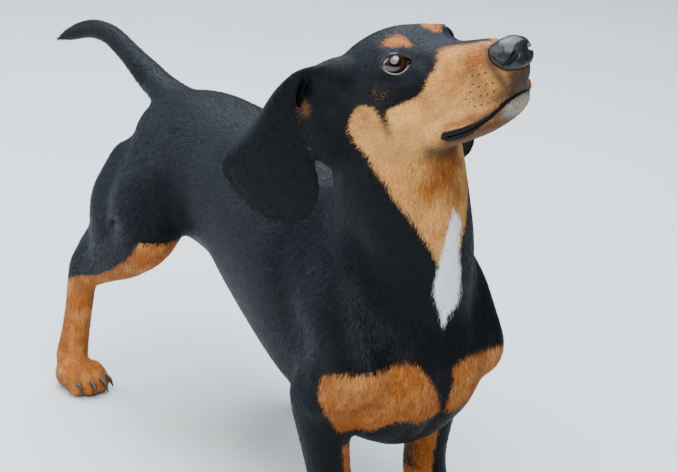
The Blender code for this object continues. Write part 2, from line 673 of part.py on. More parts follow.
def thinned(made, share, spare=None):
    """Fewer and larger triangles, with the skin inside spare kept finer."""
    act = made.modifiers.new("Thin", "DECIMATE")
    act.ratio = share
    if spare is not None:
        group = made.vertex_groups.new(name="spare")
        for level in range(1, 11):
            chosen = np.nonzero(np.round(spare * 10) == level)[0].tolist()
            if chosen:
                group.add(chosen, level / 10, "REPLACE")
        act.vertex_group = "spare"
        act.invert_vertex_group = True
        act.vertex_group_factor = 0.0014
    return applied(made.name, made)


def almond(name, side, reach):
    """The opening between the lids, as a block along the eye's axis."""
    centre, axis, along, up = eye_frame(side)
    mesh = bmesh.new()
    rows = []
    for depth in (0.0035, reach):
        row = []
        for k in range(24):
            angle = 2 * math.pi * k / 24
            c, s = math.cos(angle), math.sin(angle)
            wide = 0.0105 if c > 0 else 0.0088
            tall = (0.0070 if s > 0 else 0.0068) * (1 - 0.55 * max(c, 0) ** 2)
            point = centre + axis * depth + along * c * wide + up * (s * tall - 0.0010 * c)
            row.append(mesh.verts.new(point))
        rows.append(row)
    for k in range(24):
        n = (k + 1) % 24
        mesh.faces.new((rows[0][k], rows[0][n], rows[1][n], rows[1][k]))
    mesh.faces.new(rows[0])
    mesh.faces.new(rows[1])
    bmesh.ops.recalc_face_normals(mesh, faces=mesh.faces)
    data = bpy.data.meshes.new(name)
    mesh.to_mesh(data)
    mesh.free()
    made = bpy.data.objects.new(name, data)
    bpy.context.scene.collection.objects.link(made)
    return made


def mouth_blade():
    """A thin ribbon along the line of the mouth, from one corner round to the other."""
    right = [at_head(a, -l, u) for a, l, u in MOUTH]
    left = [at_head(a, l, u) for a, l, u in MOUTH[:-1]]
    path = right + left[::-1]
    rows = [(*p, 0.0042, 0.0005, 0.0005) for p in path]
    return limb("mouth_line", rows, HEAD_UP, sides=8, domes=(60,))


def nostril(side):
    """The hole of a nostril and the slit that runs back from it under the wing."""
    rows = [(*at_head(a, side * l, u), w, h, h) for a, l, u, w, h in NOSTRIL]
    return limb("nostril", rows, HEAD_UP, sides=12, domes=(70, 35))


def nose():
    turn = Matrix((HEAD_FORWARD, HEAD_LEFT, HEAD_UP)).transposed()
    forms = [trunk("pad", NOSE, HEAD_ORIGIN, HEAD_FORWARD, HEAD_UP)]
    for side in (-1, 1):
        forms.append(bulge("wing", at_head(0.0760, side * 0.0084, -0.0198), (0.0074, 0.0050, 0.0078), turn))
    made = fuse("nose", forms, 0.0007)
    soften(made, np.ones(len(points_of(made))), 8)
    return made


def claws(side, centre, out_turn, size):
    """A short curved claw at the end of each toe."""
    turn = Matrix.Rotation(math.radians(-side * out_turn), 3, "Z")
    made = []
    for across, ahead in TOES:
        rows = []
        for spread, reach, drop, wide, deep in CLAW:
            spot = centre + turn @ Vector((across * spread, -ahead - reach, -drop)) * size
            rows.append((*spot, wide, deep, deep))
        made.append(limb("claw", rows, UP, ends=(0.6, 0.8), sides=6, step=0.009, domes=(50,)))
    return made


def united(made, pieces):
    """The object with the pieces fused into it."""
    group = bpy.data.collections.new("fused")
    bpy.context.scene.collection.children.link(group)
    for piece in pieces:
        bpy.context.scene.collection.objects.unlink(piece)
        group.objects.link(piece)
    act = made.modifiers.new("Fuse", "BOOLEAN")
    act.operation = "UNION"
    act.operand_type = "COLLECTION"
    act.collection = group
    act.solver = "EXACT"
    name = made.name
    done = largest(applied(name, made))
    done.name = name
    for piece in pieces:
        bpy.data.objects.remove(piece)
    bpy.data.collections.remove(group)
    return done


# A claw from its root to its tip: spread from the toe, reach ahead of it, drop, half width, half depth.
CLAW = (
    (1.06, 0.0030, 0.0005, 0.0021, 0.0024),
    (1.12, 0.0095, 0.0030, 0.0017, 0.0020),
    (1.16, 0.0125, 0.0085, 0.0007, 0.0008),
)
PAW_TOP = 0.036
PAWS = {
    "fore_right": (-1, Vector((-0.0515, 0.066, 0.0135)), 8, 1.0),
    "fore_left": (1, Vector((0.0415, 0.078, 0.0135)), 8, 1.0),
    "hind_right": (-1, Vector((-0.0800, 0.437, 0.0130)), 10, 0.93),
    "hind_left": (1, Vector((0.071, 0.297, 0.0130)), 5, 0.93),
}
# Where each leg leaves the trunk: the plug that is cut out, as stations of a tube down the leg.
LEG_PLUGS = {
    "foreleg_right": (
        (-0.070, 0.084, 0.130, 0.030, 0.040, 0.040),
        (-0.066, 0.084, 0.110, 0.030, 0.042, 0.040),
        (-0.054, 0.080, 0.050, 0.034, 0.045, 0.040),
        (-0.052, 0.075, -0.02, 0.040, 0.060, 0.045),
    ),
    "foreleg_left": (
        (0.064, 0.092, 0.130, 0.030, 0.040, 0.040),
        (0.060, 0.092, 0.110, 0.030, 0.042, 0.040),
        (0.044, 0.092, 0.050, 0.034, 0.045, 0.040),
        (0.042, 0.085, -0.02, 0.040, 0.060, 0.045),
    ),
    "hindleg_right": (
        (-0.072, 0.380, 0.230, 0.046, 0.060, 0.055),
        (-0.074, 0.380, 0.170, 0.046, 0.072, 0.062),
        (-0.076, 0.402, 0.110, 0.040, 0.074, 0.075),
        (-0.078, 0.430, 0.040, 0.040, 0.060, 0.060),
        (-0.078, 0.430, -0.02, 0.040, 0.060, 0.060),
    ),
    "hindleg_left": (
        (0.072, 0.355, 0.230, 0.046, 0.056, 0.060),
        (0.074, 0.325, 0.170, 0.046, 0.062, 0.070),
        (0.073, 0.320, 0.110, 0.042, 0.060, 0.070),
        (0.071, 0.305, 0.040, 0.040, 0.055, 0.060),
        (0.071, 0.300, -0.02, 0.040, 0.060, 0.060),
    ),
}
# Where tail, head and neck part from what carries them: a point of each cut, its facing, and its reach.
CUTS = {
    "tail": (Vector((0, 0.432, 0.255)), Vector((0, 0.95, 0.25)), 0.3),
    "head": (Vector((-0.028, 0.060, 0.316)), Vector((-0.05, -0.27, 0.96)), 0.4),
    "neck": (Vector((0, 0.075, 0.228)), Vector((0, -0.46, 0.89)), 0.3),
}

BLACK_COAT = ("coat_black", (0.012, 0.012, 0.014), 0.42)
TAN_COAT = ("coat_tan", (0.42, 0.17, 0.055), 0.60)
NOSE_LEATHER = ("nose_leather", (0.014, 0.014, 0.016), 0.30)
EYE_BROWN = ("eye_brown", (0.045, 0.018, 0.008), 0.08)
COLOURS = {"nose": NOSE_LEATHER, "eye_left": EYE_BROWN, "eye_right": EYE_BROWN}


def painted(made):
    """Gives a finished piece its colour, smooth shading and place in the dog's own collection."""
    name, colour, roughness = COLOURS.get(made.name, TAN_COAT if "paw" in made.name else BLACK_COAT)
    paint = bpy.data.materials.new(f"{name}_{made.name}")
    paint.use_nodes = True
    shader = paint.node_tree.nodes["Principled BSDF"]
    shader.inputs["Base Color"].default_value = (*colour, 1)
    shader.inputs["Roughness"].default_value = roughness
    shader.inputs["Metallic"].default_value = 0.0
    made.data.materials.clear()
    made.data.materials.append(paint)
    made.data.polygons.foreach_set("use_smooth", [True] * len(made.data.polygons))
    made.data.name = made.name
    bpy.context.scene.collection.objects.unlink(made)
    bpy.data.collections["dachshund"].objects.link(made)


def leg_plug(rows):
    """The tube round a leg, for the cut that parts it from the trunk."""
    return limb("plug", rows, FORWARD, sides=16, step=0.03, domes=(75, 50, 25))


def split(made, name, cutter, grown):
    """Parts the object: what lies in the cutter becomes its own piece, with a thin gap round it."""
    piece = cut(copy_of(made, name), cutter, "INTERSECT")
    rest = cut(made, grown)
    return rest, piece


def main():
    for old in list(bpy.data.objects):
        bpy.data.objects.remove(old)
    bpy.context.scene.collection.children.link(bpy.data.collections.new("dachshund"))
    body = fuse("torso", body_forms(), BODY_VOXEL)
    soften(body, skin_weights(points_of(body)), 60)
    swell(body, modelling())
    points = points_of(body)
    gap = points - np.array(HEAD_ORIGIN)
    ahead, up = gap @ np.array(HEAD_FORWARD), gap @ np.array(HEAD_UP)
    fine = np.clip((ahead + 0.095) / 0.03, 0, 1) * np.clip((up + 0.090) / 0.02, 0, 1) * (points[:, 2] > 0.3)
    fine = np.maximum(fine * 0.9, 0.35 * (points[:, 2] < 0.035))
    body = thinned(body, BODY_KEPT, fine)
    body = cut(body, slab("floor", MIDDLE, -UP, FLOOR_REACH))

    for side in (-1, 1):
        centre = eye_frame(side)[0]
        r = EYE_RADIUS + CUT_GAP
        body = cut(body, almond("slit", side, 0.020))
        body = cut(body, bulge("socket", centre, (r, r, r), sides=EYE_SIDES))
        bulge("eye_left" if side > 0 else "eye_right", centre, (EYE_RADIUS,) * 3, sides=EYE_SIDES)
    body = cut(body, mouth_blade())

    pad = thinned(nose(), NOSE_KEPT)
    grown = copy_of(pad, "grown")
    put_points(grown, points_of(grown) + normals_of(grown) * CUT_GAP)
    body = cut(body, grown)
    for side in (-1, 1):
        pad = cut(pad, nostril(side))

    for name, rows in (("ear_right", EAR_RIGHT), ("ear_left", EAR_LEFT)):
        ear = leaf(name, rows, EAR_THICKNESS)
        grown = copy_of(body, "grown")
        put_points(grown, points_of(grown) + normals_of(grown) * CUT_GAP)
        cut(ear, grown)

    for name, rows in LEG_PLUGS.items():
        wide = [(x, y, z, a + 2 * CUT_GAP, b + 2 * CUT_GAP, c + 2 * CUT_GAP) for x, y, z, a, b, c in rows]
        body, leg = split(body, name, leg_plug(rows), leg_plug(wide))
        paw_name = name.replace("foreleg", "forepaw").replace("hindleg", "hindpaw")
        low, high = MIDDLE + UP * PAW_TOP, MIDDLE + UP * (PAW_TOP + CUT_GAP)
        grown = slab("low", high, -UP, FLOOR_REACH)
        foot = split(leg, paw_name, slab("low", low, -UP, FLOOR_REACH), grown)[1]
        foot = united(foot, claws(*PAWS[paw_name.replace("paw", "")]))
        cut(foot, slab("floor", MIDDLE, -UP, FLOOR_REACH))

    for name, (at, facing, reach) in CUTS.items():
        way = facing.normalized()
        grown = slab("beyond", at - way * CUT_GAP, way, reach)
        body = split(body, name, slab("beyond", at, way, reach), grown)[0]
    for made in list(bpy.data.objects):
        put_points(made, points_of(made) - np.array(STAND))
        painted(made)


main()
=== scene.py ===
"""The looks of a standing smooth-haired dachshund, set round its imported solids.

One skin replaces the flesh, with the same forms as the solids on a finer grid. Markings, lips and lids
are marked on the skin, a short coat of fine tufts lies over it, and the eyes, nose and claws are
separate pieces. The dog is built facing -Y with its left side towards +X, in metres, and moved by
STAND at the end, as in the solids.
"""
import math

import bmesh
import bpy
import numpy as np
from mathutils import Matrix, Vector
from mathutils.bvhtree import BVHTree


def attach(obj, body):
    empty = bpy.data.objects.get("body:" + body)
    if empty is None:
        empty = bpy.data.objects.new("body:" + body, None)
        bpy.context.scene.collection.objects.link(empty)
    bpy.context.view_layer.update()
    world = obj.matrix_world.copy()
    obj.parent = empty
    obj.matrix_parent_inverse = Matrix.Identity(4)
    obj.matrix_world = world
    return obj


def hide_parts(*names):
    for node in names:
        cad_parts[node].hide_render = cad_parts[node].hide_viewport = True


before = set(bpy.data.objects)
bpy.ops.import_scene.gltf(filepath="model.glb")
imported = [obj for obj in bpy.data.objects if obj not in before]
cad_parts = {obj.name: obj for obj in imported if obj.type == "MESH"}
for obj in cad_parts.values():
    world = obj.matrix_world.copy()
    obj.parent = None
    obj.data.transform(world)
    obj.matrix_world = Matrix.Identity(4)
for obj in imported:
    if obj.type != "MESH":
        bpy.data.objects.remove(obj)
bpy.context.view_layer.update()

# Driving sizes of the skin and the coat.
SKIN_VOXEL = 0.00125
SOLID_VOXEL = 0.0016
COAT_DEPTH = 0.0004
SEED = 11

UP = Vector((0, 0, 1))
FORWARD = Vector((0, -1, 0))
RING_SIDES = 28
RING_STEP = 0.006
DOME_ANGLES = (80, 60, 40, 20)
CUT_GAP = 0.0003
# Toes of a paw: how far to the side and how far ahead of the pad's centre.
TOES = ((-0.0148, 0.019), (-0.0053, 0.026), (0.0053, 0.026), (0.0148, 0.019))

# The middle of the dog's own box on the floor, which is moved to the origin at the end.
STAND = Vector((-0.0120, 0.2639, 0.0))
# Head pose: a point between the eyes and a little ahead of them, and how the head is turned.
HEAD_ORIGIN = Vector((-0.0235, 0.0285, 0.3795))
HEAD_TURN_LEFT = math.radians(8)
HEAD_PITCH_UP = math.radians(22)
HEAD_LEAN_RIGHT = math.radians(14)

# Torso sections: distance behind the breast, top, bottom, half width, height of the widest line, squareness.
TORSO = (
    (0.021, 0.166, 0.128, 0.018, 0.147, 2.15),
    (0.028, 0.188, 0.110, 0.037, 0.150, 2.15),
    (0.042, 0.212, 0.090, 0.051, 0.155, 2.15),
    (0.062, 0.234, 0.076, 0.060, 0.160, 2.15),
    (0.090, 0.252, 0.070, 0.066, 0.165, 2.15),
    (0.120, 0.260, 0.071, 0.069, 0.170, 2.15),
    (0.160, 0.263, 0.083, 0.070, 0.178, 2.15),
    (0.200, 0.265, 0.102, 0.067, 0.188, 2.15),
    (0.240, 0.267, 0.122, 0.062, 0.198, 2.15),
    (0.280, 0.269, 0.141, 0.055, 0.207, 2.15),
    (0.320, 0.270, 0.147, 0.053, 0.210, 2.15),
    (0.360, 0.269, 0.152, 0.052, 0.215, 2.15),
    (0.395, 0.262, 0.162, 0.048, 0.215, 2.15),
    (0.422, 0.249, 0.182, 0.033, 0.215, 2.15),
    (0.434, 0.236, 0.200, 0.016, 0.218, 2.15),
)

# Neck sections from the breast to the skull: centre x, y, z, half width, depth in front, depth behind.
NECK = (
    (0.000, 0.092, 0.150, 0.046, 0.054, 0.045),
    (0.000, 0.086, 0.172, 0.052, 0.060, 0.053),
    (0.000, 0.080, 0.198, 0.0555, 0.057, 0.060),
    (-0.004, 0.073, 0.235, 0.0485, 0.056, 0.057),
    (-0.010, 0.069, 0.265, 0.0450, 0.056, 0.051),
    (-0.016, 0.068, 0.295, 0.0440, 0.054, 0.048),
    (-0.021, 0.070, 0.320, 0.0435, 0.048, 0.045),
    (-0.024, 0.078, 0.342, 0.0380, 0.032, 0.030),
)

# Skull and upper muzzle: distance ahead of the eyes, top, bottom, half width, widest height, squareness.
SKULL = (
    (-0.086, -0.002, -0.030, 0.014, -0.014, 2.1),
    (-0.076, 0.0090, -0.045, 0.029, -0.016, 2.1),
    (-0.058, 0.0168, -0.052, 0.039, -0.018, 2.1),
    (-0.040, 0.0202, -0.056, 0.0425, -0.022, 2.1),
    (-0.020, 0.0186, -0.056, 0.0425, -0.025, 2.1),
    (-0.005, 0.0128, -0.055, 0.0385, -0.027, 2.15),
    (0.010, 0.0038, -0.055, 0.0325, -0.030, 2.2),
    (0.025, -0.0016, -0.056, 0.0280, -0.034, 2.4),
    (0.043, -0.0042, -0.0548, 0.0232, -0.036, 2.6),
    (0.055, -0.0052, -0.0515, 0.0205, -0.035, 2.6),
    (0.0610, -0.0066, -0.0485, 0.0172, -0.034, 2.5),
    (0.0655, -0.0092, -0.0458, 0.0144, -0.033, 2.3),
    (0.0708, -0.0130, -0.0430, 0.0126, -0.031, 2.2),
    (0.0758, -0.0170, -0.0392, 0.0102, -0.029, 2.1),
    (0.0800, -0.0205, -0.0352, 0.0078, -0.028, 2.1),
    (0.0828, -0.0235, -0.0315, 0.0046, -0.027, 2.1),
)
JAW = (
    (-0.055, -0.030, -0.0610, 0.028, -0.045, 2.1),
    (-0.030, -0.030, -0.0665, 0.034, -0.048, 2.1),
    (0.000, -0.034, -0.0675, 0.0325, -0.052, 2.1),
    (0.030, -0.040, -0.0660, 0.0268, -0.055, 2.15),
    (0.048, -0.042, -0.0624, 0.0200, -0.053, 2.15),
    (0.0590, -0.043, -0.0585, 0.0155, -0.051, 2.1),
    (0.0668, -0.044, -0.0540, 0.0085, -0.050, 2.1),
)
NOSE = (
    (0.0610, -0.0105, -0.0240, 0.0080, -0.0170, 2.4),
    (0.0670, -0.0080, -0.0265, 0.0118, -0.0175, 2.4),
    (0.0745, -0.0072, -0.0288, 0.0130, -0.0182, 2.5),
    (0.0800, -0.0090, -0.0295, 0.0124, -0.0190, 2.5),
    (0.0842, -0.0128, -0.0288, 0.0098, -0.0195, 2.4),
    (0.0860, -0.0168, -0.0260, 0.0050, -0.0205, 2.2),
)

# The nostril on the left, from its front to the end of its slit: ahead, out, up, half width, half height.
NOSTRIL = (
    (0.0895, 0.0060, -0.0180, 0.0030, 0.0026),
    (0.0848, 0.0074, -0.0188, 0.0030, 0.0027),
    (0.0800, 0.0106, -0.0214, 0.0021, 0.0022),
    (0.0745, 0.0138, -0.0224, 0.0010, 0.0012),
)

# The line of the mouth on the left, from its corner to the middle: ahead, out, up of the head.
MOUTH = (
    (0.0185, 0.0284, -0.0560),
    (0.0320, 0.0252, -0.0562),
    (0.0435, 0.0226, -0.0545),
    (0.0535, 0.0200, -0.0518),
    (0.0600, 0.0166, -0.0485),
    (0.0645, 0.0116, -0.0462),
    (0.0668, 0.0058, -0.0450),
    (0.0676, 0.0000, -0.0448),
)

# Bones of the face on the left, in the same numbers, and the furrow between neck and shoulder.
BROW = ((0.006, 0.020, 0.0125), (-0.006, 0.0215, 0.0175), (-0.016, 0.025, 0.014))
CHEEKBONE = ((0.004, 0.031, -0.015), (-0.018, 0.040, -0.016), (-0.040, 0.043, -0.010))
NECK_FURROW = ((0.046, 0.062, 0.242), (0.044, 0.036, 0.205), (0.036, 0.024, 0.170))

EYE_RADIUS = 0.0100
LID_THICKNESS = 0.0021
EYE_SIDES = 18
EYE_CENTRE = (-0.0078, 0.0224, -0.0014)
EYE_AXIS = (0.775, 0.625, 0.09)

# Joints of the legs, right then left: shoulder, elbow, wrist and foot; hip, stifle, hock and heel.
FRONT_LEGS = {
    -1: ((-0.0545, 0.052, 0.150), (-0.0595, 0.092, 0.118), (-0.0495, 0.084, 0.042), (-0.0505, 0.078, 0.022)),
    1: ((0.0510, 0.055, 0.150), (0.0535, 0.102, 0.118), (0.0405, 0.096, 0.042), (0.0405, 0.090, 0.022)),
}
HIND_LEGS = {
    -1: ((-0.040, 0.378, 0.212), (-0.058, 0.346, 0.158), (-0.070, 0.441, 0.103), (-0.079, 0.450, 0.024)),
    1: ((0.040, 0.370, 0.212), (0.060, 0.290, 0.158), (0.066, 0.345, 0.090), (0.070, 0.312, 0.024)),
}

# Each ear as rows of front edge, middle and rear edge, from the root in the skull to the tip.
EAR_THICKNESS = 0.0028
EAR_ROOT_UP = {-1: 0.0025, 1: -0.0080}
EAR_RIGHT = (
    ((-0.054, 0.068, 0.358), (-0.058, 0.080, 0.356), (-0.036, 0.096, 0.338)),
    ((-0.068, 0.0735, 0.3610), (-0.071, 0.085, 0.3570), (-0.040, 0.103, 0.335)),
    ((-0.0775, 0.0830, 0.3570), (-0.0815, 0.0945, 0.3520), (-0.043, 0.110, 0.328)),
    ((-0.0818, 0.0905, 0.3430), (-0.0890, 0.1055, 0.3400), (-0.049, 0.116, 0.319)),
    ((-0.0812, 0.0905, 0.3290), (-0.0950, 0.1110, 0.3290), (-0.066, 0.125, 0.311)),
    ((-0.0787, 0.0862, 0.3160), (-0.0990, 0.1120, 0.3150), (-0.0930, 0.134, 0.303)),
    ((-0.0755, 0.0805, 0.3010), (-0.0980, 0.1090, 0.2990), (-0.1100, 0.1410, 0.2890)),
    ((-0.0728, 0.0765, 0.2860), (-0.0950, 0.1060, 0.2820), (-0.1118, 0.1430, 0.2760)),
    ((-0.0722, 0.0752, 0.2720), (-0.0915, 0.1035, 0.2650), (-0.1065, 0.1345, 0.2625)),
    ((-0.0745, 0.0790, 0.2590), (-0.0885, 0.1010, 0.2520), (-0.0990, 0.1215, 0.2525)),
    ((-0.0790, 0.0865, 0.2490), (-0.0868, 0.0990, 0.2455), (-0.0930, 0.1105, 0.2475)),
)
EAR_LEFT = (
    ((-0.002, 0.084, 0.366), (0.001, 0.096, 0.364), (-0.018, 0.108, 0.346)),
    ((0.014, 0.084, 0.3690), (0.017, 0.097, 0.3650), (-0.010, 0.114, 0.342)),
    ((0.0260, 0.0835, 0.3630), (0.0300, 0.0980, 0.3580), (-0.004, 0.121, 0.336)),
    ((0.0330, 0.0820, 0.3500), (0.0400, 0.1020, 0.3470), (0.004, 0.128, 0.328)),
    ((0.0390, 0.0790, 0.3360), (0.0490, 0.1030, 0.3350), (0.022, 0.137, 0.320)),
    ((0.0440, 0.0745, 0.3220), (0.0550, 0.1020, 0.3210), (0.0460, 0.1410, 0.3110)),
    ((0.0485, 0.0710, 0.3080), (0.0590, 0.1010, 0.3060), (0.0610, 0.1400, 0.2970)),
    ((0.0525, 0.0690, 0.2960), (0.0615, 0.1000, 0.2920), (0.0670, 0.1360, 0.2830)),
    ((0.0545, 0.0750, 0.2860), (0.0625, 0.1020, 0.2800), (0.0680, 0.1300, 0.2710)),
    ((0.0565, 0.0860, 0.2770), (0.0630, 0.1060, 0.2700), (0.0675, 0.1240, 0.2640)),
    ((0.0590, 0.0980, 0.2680), (0.0635, 0.1090, 0.2630), (0.0665, 0.1180, 0.2600)),
)


def head_axes():
    """Forward, left and up of the head, as unit vectors."""
    turn, pitch, lean = HEAD_TURN_LEFT, HEAD_PITCH_UP, HEAD_LEAN_RIGHT
    forward = Vector((math.sin(turn) * math.cos(pitch), -math.cos(turn) * math.cos(pitch), math.sin(pitch)))
    level = Vector((math.cos(turn), math.sin(turn), 0))
    upright = level.cross(forward)
    if upright.z < 0:
        upright.negate()
    left = level * math.cos(lean) + upright * math.sin(lean)
    up = upright * math.cos(lean) - level * math.sin(lean)
    return forward, left, up


HEAD_FORWARD, HEAD_LEFT, HEAD_UP = head_axes()


def at_head(ahead, left, up):
    """A point of the head in the dog's own frame."""
    return HEAD_ORIGIN + HEAD_FORWARD * ahead + HEAD_LEFT * left + HEAD_UP * up


def through(rows, step=RING_STEP):
    """Rows of numbers read from a smooth curve through the given rows, about one step apart."""
    rows = np.array(rows, float)
    padded = np.vstack([2 * rows[0] - rows[1], rows, 2 * rows[-1] - rows[-2]])
    found = []
    for i in range(1, len(padded) - 2):
        a, b, c, d = padded[i - 1 : i + 3]
        count = max(1, round(np.linalg.norm((c - b)[:3]) / step))
        for t in np.arange(count) / count:
            bend = (2 * a - 5 * b + 4 * c - d) * t**2 + (3 * b - a - 3 * c + d) * t**3
            found.append(0.5 * (2 * b + (c - a) * t + bend))
    found.append(rows[-1])
    return np.array(found)


def ring(centre, side, up, half_width, above, below, square=2.0, sides=RING_SIDES):
    """A closed ring of points, wider or taller on either side of its centre line."""
    points = []
    for k in range(sides):
        angle = 2 * math.pi * k / sides
        c, s = math.cos(angle), math.sin(angle)
        across = math.copysign(abs(c) ** (2 / square), c) * half_width
        rise = math.copysign(abs(s) ** (2 / square), s) * (above if s > 0 else below)
        points.append(centre + side * across + up * rise)
    return points


def loft(name, rings):
    """A closed mesh through rings of equal counts, its two ends drawn to a point."""
    mesh = bmesh.new()
    rows = [[mesh.verts.new(p) for p in points] for points in rings]
    for low, high in zip(rows, rows[1:]):
        for k in range(len(low)):
            n = (k + 1) % len(low)
            mesh.faces.new((low[k], low[n], high[n], high[k]))
    for row in (rows[0], rows[-1]):
        tip = mesh.verts.new(sum((v.co for v in row), Vector()) / len(row))
        for k in range(len(row)):
            mesh.faces.new((row[k], row[(k + 1) % len(row)], tip))
    bmesh.ops.recalc_face_normals(mesh, faces=mesh.faces)
    data = bpy.data.meshes.new(name)
    mesh.to_mesh(data)
    mesh.free()
    made = bpy.data.objects.new(name, data)
    bpy.context.scene.collection.objects.link(made)
    return made


def rounded(rows, ends=(1.0, 1.0), domes=DOME_ANGLES):
    """Rows of a limb with shrinking rows added at each end, so that the loft closes like a dome."""
    rows = [np.array(r, float) for r in rows]
    out = []
    first = (rows[0][:3] - rows[1][:3]) / np.linalg.norm(rows[0][:3] - rows[1][:3])
    last = (rows[-1][:3] - rows[-2][:3]) / np.linalg.norm(rows[-1][:3] - rows[-2][:3])
    for angle in domes:
        a = math.radians(angle)
        row = rows[0].copy()
        row[:3] += first * math.sin(a) * rows[0][3:6].mean() * ends[0]
        row[3:6] *= math.cos(a)
        out.append(row)
    out += rows
    for angle in domes[::-1]:
        a = math.radians(angle)
        row = rows[-1].copy()
        row[:3] += last * math.sin(a) * rows[-1][3:6].mean() * ends[1]
        row[3:6] *= math.cos(a)
        out.append(row)
    return np.array(out)


def limb(name, stations, front, ends=(1.0, 1.0), sides=RING_SIDES, step=RING_STEP, domes=DOME_ANGLES):
    """A loft along a bent path. A station is x, y, z, half width, depth towards front, depth away from it."""
    rows = rounded(through(stations, step), ends, domes)
    rings = []
    for i, row in enumerate(rows):
        low, high = rows[max(i - 1, 0)], rows[min(i + 1, len(rows) - 1)]
        along = Vector(high[:3] - low[:3]).normalized()
        up = (front - along * front.dot(along)).normalized()
        rings.append(ring(Vector(row[:3]), along.cross(up), up, row[3], row[4], row[5], sides=sides))
    return loft(name, rings)


def trunk(name, stations, origin, along, up, grow=0.0):
    """A loft along a straight axis, its sections given as in the tables of the torso and the skull."""
    side = along.cross(up)
    rings = []
    for d, top, bottom, wide, widest, square in through(stations):
        centre = origin + along * d + up * widest
        rings.append(ring(centre, side, up, wide + grow, top - widest + grow, widest - bottom + grow, square))
    return loft(name, rings)


def bulge(name, centre, radii, turn=None, sides=24):
    """A muscle or bone under the skin, as an ellipsoid."""
    mesh = bmesh.new()
    bmesh.ops.create_uvsphere(mesh, u_segments=sides, v_segments=sides * 2 // 3, radius=1)
    matrix = Matrix.Translation(centre) @ (turn or Matrix()).to_4x4() @ Matrix.Diagonal((*radii, 1))
    bmesh.ops.transform(mesh, matrix=matrix, verts=mesh.verts)
    data = bpy.data.meshes.new(name)
    mesh.to_mesh(data)
    mesh.free()
    made = bpy.data.objects.new(name, data)
    bpy.context.scene.collection.objects.link(made)
    return made


def mix(a, b, share):
    return Vector(a).lerp(Vector(b), share)


def front_leg(side, shoulder, elbow, wrist, foot):
    """Shoulder blade, upper arm, forearm and pastern of one front leg. side is -1 for the right one."""
    blade_top = Vector((side * 0.034, 0.124, 0.236))
    blade = mix(blade_top, shoulder, 0.5) + Vector((side * 0.007, 0.002, 0.0))
    return [
        limb("shoulder_blade", [
            (*blade_top, 0.012, 0.026, 0.030),
            (*blade, 0.018, 0.034, 0.038),
            (*shoulder, 0.0195, 0.026, 0.034),
        ], FORWARD),
        limb("upper_arm", [
            (*shoulder, 0.0195, 0.024, 0.030),
            (*mix(shoulder, elbow, 0.5), 0.0205, 0.030, 0.032),
            (*elbow, 0.019, 0.024, 0.022),
        ], FORWARD),
        limb("forearm", [
            (*mix(shoulder, elbow, 0.8), 0.0205, 0.028, 0.026),
            (*elbow, 0.0205, 0.025, 0.022),
            (*mix(elbow, wrist, 0.4), 0.0190, 0.022, 0.019),
            (*mix(elbow, wrist, 0.75), 0.0170, 0.0180, 0.0165),
            (*wrist, 0.0172, 0.0170, 0.0168),
            (*foot, 0.0170, 0.0165, 0.0155),
        ], FORWARD),
    ]


def hind_leg(side, hip, stifle, hock, heel):
    """Thigh, shank, tendon and long foot bone of one hind leg."""
    seat = Vector((side * 0.040, 0.416, 0.200))
    calf = mix(stifle, hock, 0.42)
    return [
        limb("thigh", [
            (*hip, 0.018, 0.036, 0.030),
            (*mix(hip, stifle, 0.3), 0.026, 0.047, 0.046),
            (*mix(hip, stifle, 0.6), 0.027, 0.041, 0.052),
            (*mix(hip, stifle, 0.9), 0.024, 0.029, 0.050),
            (*mix(stifle, hock, 0.12), 0.021, 0.026, 0.034),
        ], FORWARD),
        limb("ham", [
            (*seat, 0.018, 0.024, 0.022),
            (*(mix(seat, calf, 0.4) + Vector((side * 0.004, 0.004, 0))), 0.022, 0.034, 0.032),
            (*(mix(seat, calf, 0.8) + Vector((side * 0.003, 0.008, 0))), 0.019, 0.030, 0.030),
            (*mix(stifle, hock, 0.62), 0.014, 0.022, 0.020),
        ], FORWARD),
        limb("shank", [
            (*mix(hip, stifle, 0.85), 0.021, 0.026, 0.026),
            (*mix(stifle, hock, 0.25), 0.0205, 0.026, 0.026),
            (*mix(stifle, hock, 0.6), 0.0165, 0.022, 0.019),
            (*mix(stifle, hock, 0.85), 0.0135, 0.019, 0.0150),
            (*hock, 0.0130, 0.0185, 0.0145),
        ], FORWARD),
        limb("tendon", [
            (*(mix(stifle, hock, 0.45) + Vector((0, 0.022, 0.022))), 0.0110, 0.014, 0.012),
            (*(mix(stifle, hock, 0.8) + Vector((0, 0.016, 0.016))), 0.0085, 0.012, 0.0080),
            (*(hock + Vector((0, 0.009, 0.010))), 0.0080, 0.010, 0.0065),
        ], FORWARD),
        limb("long_foot", [
            (*(hock + Vector((0, 0.003, 0.003))), 0.0130, 0.0165, 0.0145),
            (*mix(hock, heel, 0.5), 0.0125, 0.0145, 0.0130),
            (*heel, 0.0140, 0.0155, 0.0125),
        ], FORWARD),
    ]


def paw(side, centre, out_turn, size):
    """The pad of a foot with four toes, turned out by some degrees."""
    turn = Matrix.Rotation(math.radians(-side * out_turn), 3, "Z")
    forms = [bulge("pad", centre + Vector((0, 0, -0.001)), Vector((0.0195, 0.023, 0.0160)) * size, turn)]
    for k, (across, ahead) in enumerate(TOES):
        knuckle = centre + turn @ Vector((across * 0.85, -ahead * 0.45, 0.004)) * size
        tip = centre + turn @ Vector((across * 1.05, -ahead, -0.0060)) * size
        forms.append(limb(f"toe_{k}", [
            (*knuckle, 0.0080 * size, 0.0088 * size, 0.0088 * size),
            (*mix(knuckle, tip, 0.5), 0.0082 * size, 0.0092 * size, 0.0090 * size),
            (*tip, 0.0070 * size, 0.0080 * size, 0.0080 * size),
        ], UP))
    return forms


